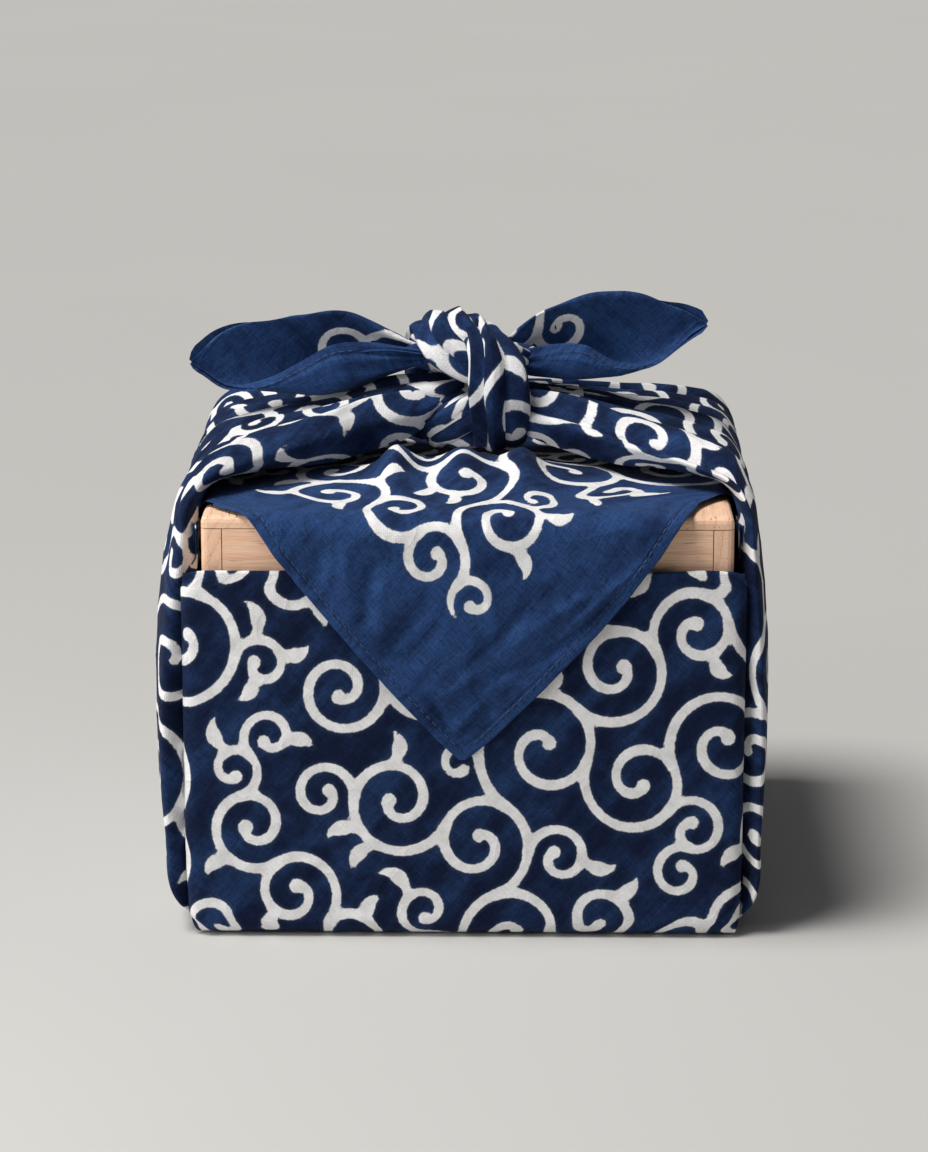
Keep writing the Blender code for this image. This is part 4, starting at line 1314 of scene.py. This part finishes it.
def mix(tree, factor, first, second, blend="MIX"):
    """A colour Mix node over sockets, or a number and RGB tuples; returns its output."""
    made = node(tree, "ShaderNodeMix", data_type="RGBA", blend_type=blend)
    for k, value in ((0, factor), (6, first), (7, second)):
        socket = made.inputs[k]
        if isinstance(value, (int, float)):
            socket.default_value = value
        elif isinstance(value, tuple):
            socket.default_value = (*value, 1.0)
        else:
            join(tree, value, socket)
    return made.outputs[2]


def shaded(tree, colour, value):
    """A colour multiplied by a value that changes over the surface."""
    grey = node(tree, "ShaderNodeCombineColor")
    for socket in grey.inputs:
        join(tree, value, socket)
    return mix(tree, 1.0, colour, grey.outputs[0], "MULTIPLY")


def bump(tree, height, strength, distance, under=None):
    """A Bump node over a height and, where given, over another bump; returns its normal."""
    made = node(tree, "ShaderNodeBump")
    set_inputs(made, {"Strength": strength, "Distance": distance})
    join(tree, height, made.inputs["Height"])
    if under is not None:
        join(tree, under, made.inputs["Normal"])
    return made.outputs[0]


def new_group(name, inputs, outputs):
    """A node group with its sockets, given as names and kinds, and the nodes at its two ends."""
    group = bpy.data.node_groups.new(name, "ShaderNodeTree")
    for way, sockets in (("INPUT", inputs), ("OUTPUT", outputs)):
        for title, kind in sockets:
            group.interface.new_socket(title, in_out=way, socket_type=f"NodeSocket{kind}")
    return group, node(group, "NodeGroupInput").outputs, node(group, "NodeGroupOutput").inputs


def weave_group():
    """Plain weave: threads at a slant to the wrap, as a height and a light-and-dark value.

    The height is half the product of the two sets of threads' sines, plus the larger of the two
    sines without their signs.
    """
    group, entry, leave = new_group(
        "Plain weave",
        (("Vector", "Vector"), ("Threads per mm", "Float")),
        (("Height", "Float"), ("Shade", "Float")),
    )
    slant = turned(group, entry["Vector"], 45)
    along = parts(group, slant)
    rate = maths(group, "MULTIPLY", entry["Threads per mm"], math.pi)
    warp, weft = (maths(group, "SINE", maths(group, "MULTIPLY", along[k], rate)) for k in (0, 1))
    cross = maths(group, "MULTIPLY", warp, weft)
    ribs = maths(group, "MAXIMUM", maths(group, "ABSOLUTE", warp), maths(group, "ABSOLUTE", weft))
    join(group, maths(group, "ADD", maths(group, "MULTIPLY", cross, 0.5), ribs), leave["Height"])
    slubs = noise(group, entry["Vector"], 0.9, 3.0, 0.6)
    threads = maths(
        group,
        "ADD",
        noise(group, stretched(group, slant, (0.16, 2.4, 1.0)), 1.0, 1.0),
        noise(group, stretched(group, slant, (2.4, 0.16, 1.0)), 1.0, 1.0),
    )
    join(group, weighted(group, (threads, 0.35), (slubs, 0.3)), leave["Shade"])
    return group


def hem_distance(tree, places):
    """Distance in mm from the flat cloth's edge: what |u| + |v| leaves of the half diagonal."""
    u, v = (maths(tree, "ABSOLUTE", part) for part in parts(tree, places)[:2])
    left = maths(tree, "SUBTRACT", HALF_DIAGONAL, maths(tree, "ADD", u, v))
    return maths(tree, "MULTIPLY", left, math.sqrt(0.5))


def cloth_colour(tree, look, places, shade, cloudy, patchy, from_hem):
    """Dye and print: indigo, mottled and grained, and bare cotton inside the print's edge.

    Painted shade darkens the indigo from the border inwards, and the dye bleeds a little round the
    print.
    """
    printed = node(tree, "ShaderNodeAttribute", attribute_name="print_distance").outputs["Fac"]
    ragged = maths(tree, "SUBTRACT", noise(tree, places, 0.7, 2.0, 0.6), 0.5)
    edge = maths(tree, "ADD", printed, maths(tree, "MULTIPLY", ragged, 0.7))
    # cloudy is the dye's mottle, with painted light added near the hems
    depth = spread(tree, cloudy, 0.38, 0.61)
    blue = mix(tree, depth, tuple(look.indigo_deep), tuple(look.indigo))
    # Painted shade: past 75 mm from the hems the indigo darkens to 0.74 of itself at 150 mm, so the
    # panels read darker than the flap and the ears
    field = spread(tree, from_hem, 75.0, 150.0, 1.0, 0.74)
    grain = maths(tree, "MULTIPLY", spread(tree, shade, 0.36, 0.60, 0.68, 1.38), field)
    blue = shaded(tree, blue, grain)
    bleed = spread(tree, edge, 0.1, 1.6, 1.0, 0.0)
    blue = mix(tree, maths(tree, "MULTIPLY", bleed, 0.10), blue, (0.10, 0.16, 0.27))
    pale = mix(tree, spread(tree, patchy, 0.35, 0.7), tuple(look.undyed), (0.80, 0.79, 0.79))
    pale = shaded(tree, pale, spread(tree, shade, 0.34, 0.6, 0.90, 1.03))
    return mix(tree, spread(tree, edge, -0.22, 0.30, 1.0, 0.0), blue, pale)


def cloth_relief(tree, places, height, shade, from_hem):
    """The cloth's normal: the weave over fine creases, puckers and the groove of the stitches."""
    ridge = maths(tree, "ABSOLUTE", maths(tree, "SUBTRACT", noise(tree, places, 0.05), 0.5))
    creased = maths(tree, "MULTIPLY", maths(tree, "SQRT", ridge), -1.3)
    creased = maths(tree, "ADD", creased, noise(tree, places, 0.13, 1.5))
    near_hem = spread(tree, from_hem, 2.0, 9.0, 1.0, 0.0)
    pucker = maths(tree, "MULTIPLY", noise(tree, places, 0.42), near_hem)
    from_stitch = maths(tree, "ABSOLUTE", maths(tree, "SUBTRACT", from_hem, STITCH_IN))
    groove = spread(tree, from_stitch, 0.0, 1.1, -0.55, 0.0)
    small = maths(tree, "ADD", maths(tree, "ADD", creased, pucker), groove)
    weave = maths(tree, "ADD", height, maths(tree, "MULTIPLY", shade, 3.0))
    return bump(tree, weave, 0.45, 0.00022, under=bump(tree, small, 0.75, 0.0010))


def cloth_material(look):
    """Indigo cotton: the print read from its distance, mottled dye, a plain weave, and painted light
    that makes it lighter towards the hems.
    """
    material, tree, shader = new_material("indigo_cotton")
    places = node(tree, "ShaderNodeUVMap", uv_map="FlatCloth").outputs[0]
    weave = node(tree, "ShaderNodeGroup", node_tree=weave_group())
    join(tree, places, weave.inputs["Vector"])
    weave.inputs["Threads per mm"].default_value = look.threads
    height, shade = weave.outputs["Height"], weave.outputs["Shade"]
    from_hem = hem_distance(tree, places)
    mottle, patchy = noise(tree, places, 0.028, 4.0, 0.62), noise(tree, places, 0.16, 3.0, 0.6)
    slanted = stretched(tree, turned(tree, places, 50), (0.22, 1.5, 1.0))
    streaks = noise(tree, slanted, 0.07, 3.0, 0.55)
    cloudy = weighted(tree, (mottle, 0.35), (patchy, 0.2), (streaks, 0.45))
    # Painted light: from 95 mm to 20 mm from the hems the mix leans more and more to the lighter
    # indigo, so the flap and the ears read lighter
    cloudy = weighted(tree, (cloudy, 0.9), (spread(tree, from_hem, 95.0, 20.0), 0.1))
    colour = cloth_colour(tree, look, places, shade, cloudy, patchy, from_hem)
    join(tree, colour, shader.inputs["Base Color"])
    join(tree, spread(tree, cloudy, 0.3, 0.7, 0.80, 0.92), shader.inputs["Roughness"])
    relief = cloth_relief(tree, places, height, shade, from_hem)
    join(tree, relief, shader.inputs["Normal"])
    set_inputs(
        shader, {"Sheen Weight": 0.03, "Sheen Roughness": 0.5, "Specular IOR Level": 0.10}
    )
    return material


def thread_material(look):
    """Sewing thread: twisted, a little lighter than the cloth."""
    material, tree, shader = new_material("hem_thread")
    place = node(tree, "ShaderNodeTexCoord").outputs["Object"]
    twist = noise(tree, place, 2600.0)
    colour = mix(tree, spread(tree, twist, 0.35, 0.65), tuple(look.thread_dark), tuple(look.thread))
    join(tree, colour, shader.inputs["Base Color"])
    join(tree, bump(tree, twist, 1.0, 0.0001), shader.inputs["Normal"])
    shader.inputs["Roughness"].default_value = 0.7
    return material


def pine_group():
    """Pine, solid all through: rings round a far pith, fibres along X and dark flecks.

    A ring's shade is the cube of where a spot lies between two rings, counted by its distance
    from the pith, which a slow noise along the grain moves a little.
    """
    group, entry, leave = new_group(
        "Pine",
        (("Vector", "Vector"), ("Light", "Color"), ("Dark", "Color")),
        (("Color", "Color"), ("Relief", "Float")),
    )
    place = entry["Vector"]
    _, across, up = parts(group, place)

    def fibres(along, other, detail, rough=0.5):
        """Noise drawn out along X: its scale along the grain and across it."""
        return noise(group, stretched(group, place, (along, other, other)), 1.0, detail, rough)

    wander = maths(group, "MULTIPLY", fibres(3.0, 14.0, 2.0), 0.02)
    y = maths(group, "ADD", maths(group, "ADD", across, 0.12), wander)
    z = maths(group, "SUBTRACT", up, 0.31)
    squares = maths(group, "ADD", *(maths(group, "MULTIPLY", side, side) for side in (y, z)))
    radius = maths(group, "SQRT", squares)
    rings = maths(group, "FRACT", maths(group, "MULTIPLY", radius, 260.0))
    late = maths(group, "POWER", rings, 3.0)
    fibre = fibres(35.0, 1500.0, 3.0, 0.6)
    tone = weighted(group, (late, 0.30), (fibre, 0.75), (noise(group, place, 24.0), 0.35))
    colour = mix(group, spread(group, tone, 0.45, 1.05), entry["Light"], entry["Dark"])
    streak = spread(group, fibres(95.0, 1150.0, 1.0), 0.685, 0.76)
    colour = mix(group, maths(group, "MULTIPLY", streak, 0.62), colour, (0.20, 0.085, 0.03))
    fine = spread(group, fibres(120.0, 4200.0, 2.0), 0.3, 0.7, 0.86, 1.07)
    join(group, shaded(group, colour, fine), leave["Color"])
    flecked = maths(group, "MULTIPLY", streak, -0.8)
    join(group, maths(group, "ADD", fibre, flecked), leave["Relief"])
    return group


def pine_material(name, look, group, turn, shift):
    """Pine for one board: turn lays the grain along X or Y, and shift picks its own log."""
    material, tree, shader = new_material(name)
    mapping = node(tree, "ShaderNodeMapping")
    set_inputs(mapping, {"Rotation": turn, "Location": shift})
    join(tree, node(tree, "ShaderNodeTexCoord").outputs["Object"], mapping.inputs["Vector"])
    pine = node(tree, "ShaderNodeGroup", node_tree=group)
    join(tree, mapping.outputs[0], pine.inputs["Vector"])
    set_inputs(pine, {"Light": (*look.pine_light, 1.0), "Dark": (*look.pine_dark, 1.0)})
    join(tree, pine.outputs["Color"], shader.inputs["Base Color"])
    relief = pine.outputs["Relief"]
    join(tree, bump(tree, relief, 0.5, 0.00025), shader.inputs["Normal"])
    join(tree, spread(tree, relief, 0.2, 0.8, 0.66, 0.54), shader.inputs["Roughness"])
    shader.inputs["Specular IOR Level"].default_value = 0.35
    return material


def plain_material(name, colour, roughness):
    """A matt paint with a faint mottle."""
    material, tree, shader = new_material(name)
    place = node(tree, "ShaderNodeTexCoord").outputs["Object"]
    cloudy = spread(tree, noise(tree, place, 3.0), 0.3, 0.7, 0.985, 1.0)
    join(tree, shaded(tree, tuple(colour), cloudy), shader.inputs["Base Color"])
    shader.inputs["Roughness"].default_value = roughness
    return material


# ---------------------------------------------------------------- settings
class FuroshikiClothSettings(PropertyGroup):
    """What a user would change about the cloth."""

    indigo: FloatVectorProperty(
        name="Indigo", description="The dye where it is lightest", subtype="COLOR",
        default=(0.0200, 0.0540, 0.160), min=0, max=1,
    )
    indigo_deep: FloatVectorProperty(
        name="Deep indigo", description="The dye where it is darkest", subtype="COLOR",
        default=(0.0046, 0.0115, 0.044), min=0, max=1,
    )
    undyed: FloatVectorProperty(
        name="Undyed", description="The bare cotton of the print", subtype="COLOR",
        default=(0.90, 0.90, 0.91), min=0, max=1,
    )
    thread: FloatVectorProperty(
        name="Thread", description="The sewing thread where it catches the light", subtype="COLOR",
        default=(0.042, 0.090, 0.19), min=0, max=1,
    )
    thread_dark: FloatVectorProperty(
        name="Thread's shade", description="The sewing thread in its twist", subtype="COLOR",
        default=(0.013, 0.034, 0.088), min=0, max=1,
    )
    threads: FloatProperty(
        name="Threads per mm", description="How fine the plain weave is",
        default=1.7, min=0.5, max=4,
    )
    vine_seed: IntProperty(
        name="Vine", description="Which way the printed vine grows", default=5, min=0,
    )


class FuroshikiBoxSettings(PropertyGroup):
    """The look of the box's pine."""

    pine_light: FloatVectorProperty(
        name="Early wood", description="Pale wood between the rings", subtype="COLOR",
        default=(0.98, 0.655, 0.455), min=0, max=1,
    )
    pine_dark: FloatVectorProperty(
        name="Late wood", description="Darker wood of the rings", subtype="COLOR",
        default=(0.86, 0.46, 0.285), min=0, max=1,
    )


class FuroshikiStageSettings(PropertyGroup):
    """Floor, light and camera."""

    floor: FloatVectorProperty(
        name="Floor", description="Colour of the floor", subtype="COLOR",
        default=(0.56, 0.55, 0.53), min=0, max=1,
    )
    key: FloatProperty(
        name="Key light", description="Strength of the soft light from the upper left",
        default=3.1, min=0,
    )
    fill: FloatProperty(
        name="Window light", description="Power of the broad light from the front left, in watts",
        default=1.6, min=0,
    )
    softness: FloatProperty(
        name="Softness", description="How wide the key light is, in degrees",
        default=26.0, min=0, max=90,
    )
    sky: FloatProperty(
        name="Room light", description="Strength of the even light of the room", default=0.11, min=0,
    )
    lens: FloatProperty(
        name="Lens", description="Focal length of the camera", default=113.36, min=10, unit="CAMERA",
    )


# ---------------------------------------------------------------- operators
class FUROSHIKI_OT_cloth(Operator):
    """Make the tied cloth and its hem stitches"""

    bl_idname = "furoshiki.cloth"
    bl_label = "Tied cloth"

    def execute(self, context):
        look = context.scene.furoshiki_cloth
        length, flap = length_patches()
        left_ear, left_hems = ear_patch(LEFT_EAR, -1)
        right_ear, right_hems = ear_patch(RIGHT_EAR, 1)
        patches = [
            *length,
            end_patch(-1),
            end_patch(1),
            strand_patch(LEFT_STRAND, -1),
            strand_patch(RIGHT_STRAND, 1),
            left_ear,
            right_ear,
            *(gusset_patch(side, end) for side in (-1, 1) for end in (-1, 1)),
        ]
        mesh = sheet_mesh("furoshiki_cloth", patches, draw_vine(look.vine_seed))
        cloth = add_piece("furoshiki_cloth", mesh, cloth_material(look))
        routes = hem_routes(flap, FLAP_STITCH_IN, 0, -1)
        for grid, side in ((left_hems, -1), (right_hems, 1)):
            routes += hem_routes(grid, STITCH_IN, UNSTITCHED_ROWS, side)
        thread = thread_material(look)
        stitches = add_piece("hem_stitches", stitch_mesh("hem_stitches", routes), thread)
        for piece in (cloth, stitches):
            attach(piece, "root")
        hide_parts("furoshiki")
        return {"FINISHED"}


class FUROSHIKI_OT_box(Operator):
    """Give the wooden box its pine"""

    bl_idname = "furoshiki.box"
    bl_label = "Pine box"

    def execute(self, context):
        look = context.scene.furoshiki_box
        group = pine_group()
        along_y, along_x = (0.0, 0.0, math.pi / 2), (0.0, 0.0, 0.0)
        # Which way the grain runs in each board, and where in the wood it was sawn from
        boards = {
            "box_lid": (along_y, (0.03, 0.02, 0.11)),
            "box_floor": (along_y, (0.30, 0.12, 0.07)),
            "box_left_wall": (along_y, (0.11, 0.21, 0.02)),
            "box_right_wall": (along_y, (0.52, 0.33, 0.05)),
            "box_front_wall": (along_x, (0.21, 0.05, 0.09)),
            "box_back_wall": (along_x, (0.71, 0.15, 0.04)),
        }
        for name, (turn, shift) in boards.items():
            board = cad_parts[name]
            material = pine_material(f"pine_{name}", look, group, turn, shift)
            for slot in board.material_slots:
                slot.material = material
        return {"FINISHED"}


class FUROSHIKI_OT_stage(Operator):
    """Set the floor, the soft light and the camera"""

    bl_idname = "furoshiki.stage"
    bl_label = "Floor, light and camera"

    def execute(self, context):
        stage = context.scene.furoshiki_stage
        mesh = bpy.data.meshes.new("floor")
        corners = [(x * FLOOR_REACH, y * FLOOR_REACH, 0.0) for x, y in FLOOR_CORNERS]
        mesh.from_pydata(corners, [], [(0, 1, 2, 3)])
        add_piece("floor", mesh, plain_material("floor_paint", stage.floor, 0.8))
        world = bpy.data.worlds.new("room")
        world.use_nodes = True
        room = {"Color": (0.93, 0.95, 1.0, 1.0), "Strength": stage.sky}
        set_inputs(world.node_tree.nodes["Background"], room)
        context.scene.world = world
        key = bpy.data.lights.new("key", "SUN")
        key.energy, key.angle = stage.key, math.radians(stage.softness)
        key.color = (1.0, 0.985, 0.96)
        put_in_scene("key", key, KEY_PLACE, KEY_TURN)
        window = bpy.data.lights.new("window", "AREA")
        window.energy, window.size = stage.fill, WINDOW_SIZE
        put_in_scene("window", window, WINDOW_PLACE, WINDOW_TURN)
        camera = bpy.data.cameras.new("camera")
        camera.lens, camera.sensor_width = stage.lens, 36.0
        camera.clip_start, camera.clip_end = 0.05, 60.0
        context.scene.camera = put_in_scene("camera", camera, CAMERA_PLACE, CAMERA_TURN)
        context.scene.view_settings.view_transform = "Standard"
        return {"FINISHED"}


class FUROSHIKI_PT_panel(Panel):
    """The steps of the furoshiki wrap, each with its settings"""

    bl_label = "Furoshiki wrap"
    bl_idname = "FUROSHIKI_PT_panel"
    bl_space_type = "VIEW_3D"
    bl_region_type = "UI"
    bl_category = "Furoshiki"

    def draw(self, context):
        layout = self.layout
        scene = context.scene
        for step, settings in (
            (FUROSHIKI_OT_cloth, scene.furoshiki_cloth),
            (FUROSHIKI_OT_box, scene.furoshiki_box),
            (FUROSHIKI_OT_stage, scene.furoshiki_stage),
        ):
            box = layout.box()
            for name in settings.bl_rna.properties.keys():
                if name not in ("rna_type", "name"):
                    box.prop(settings, name)
            box.operator(step.bl_idname)


SETTINGS = (
    ("furoshiki_cloth", FuroshikiClothSettings),
    ("furoshiki_box", FuroshikiBoxSettings),
    ("furoshiki_stage", FuroshikiStageSettings),
)
OPERATORS = (FUROSHIKI_OT_cloth, FUROSHIKI_OT_box, FUROSHIKI_OT_stage)


def register():
    """Adds the settings, the operators and the panel."""
    for name, group in SETTINGS:
        bpy.utils.register_class(group)
        setattr(bpy.types.Scene, name, PointerProperty(type=group))
    for step in OPERATORS:
        bpy.utils.register_class(step)
    bpy.utils.register_class(FUROSHIKI_PT_panel)


def unregister():
    """Takes them away again."""
    bpy.utils.unregister_class(FUROSHIKI_PT_panel)
    for step in reversed(OPERATORS):
        bpy.utils.unregister_class(step)
    for name, group in reversed(SETTINGS):
        delattr(bpy.types.Scene, name)
        bpy.utils.unregister_class(group)


def main():
    """Makes every piece and the stage."""
    register()
    bpy.ops.furoshiki.cloth()
    bpy.ops.furoshiki.box()
    bpy.ops.furoshiki.stage()


if __name__ == "__main__":
    main()
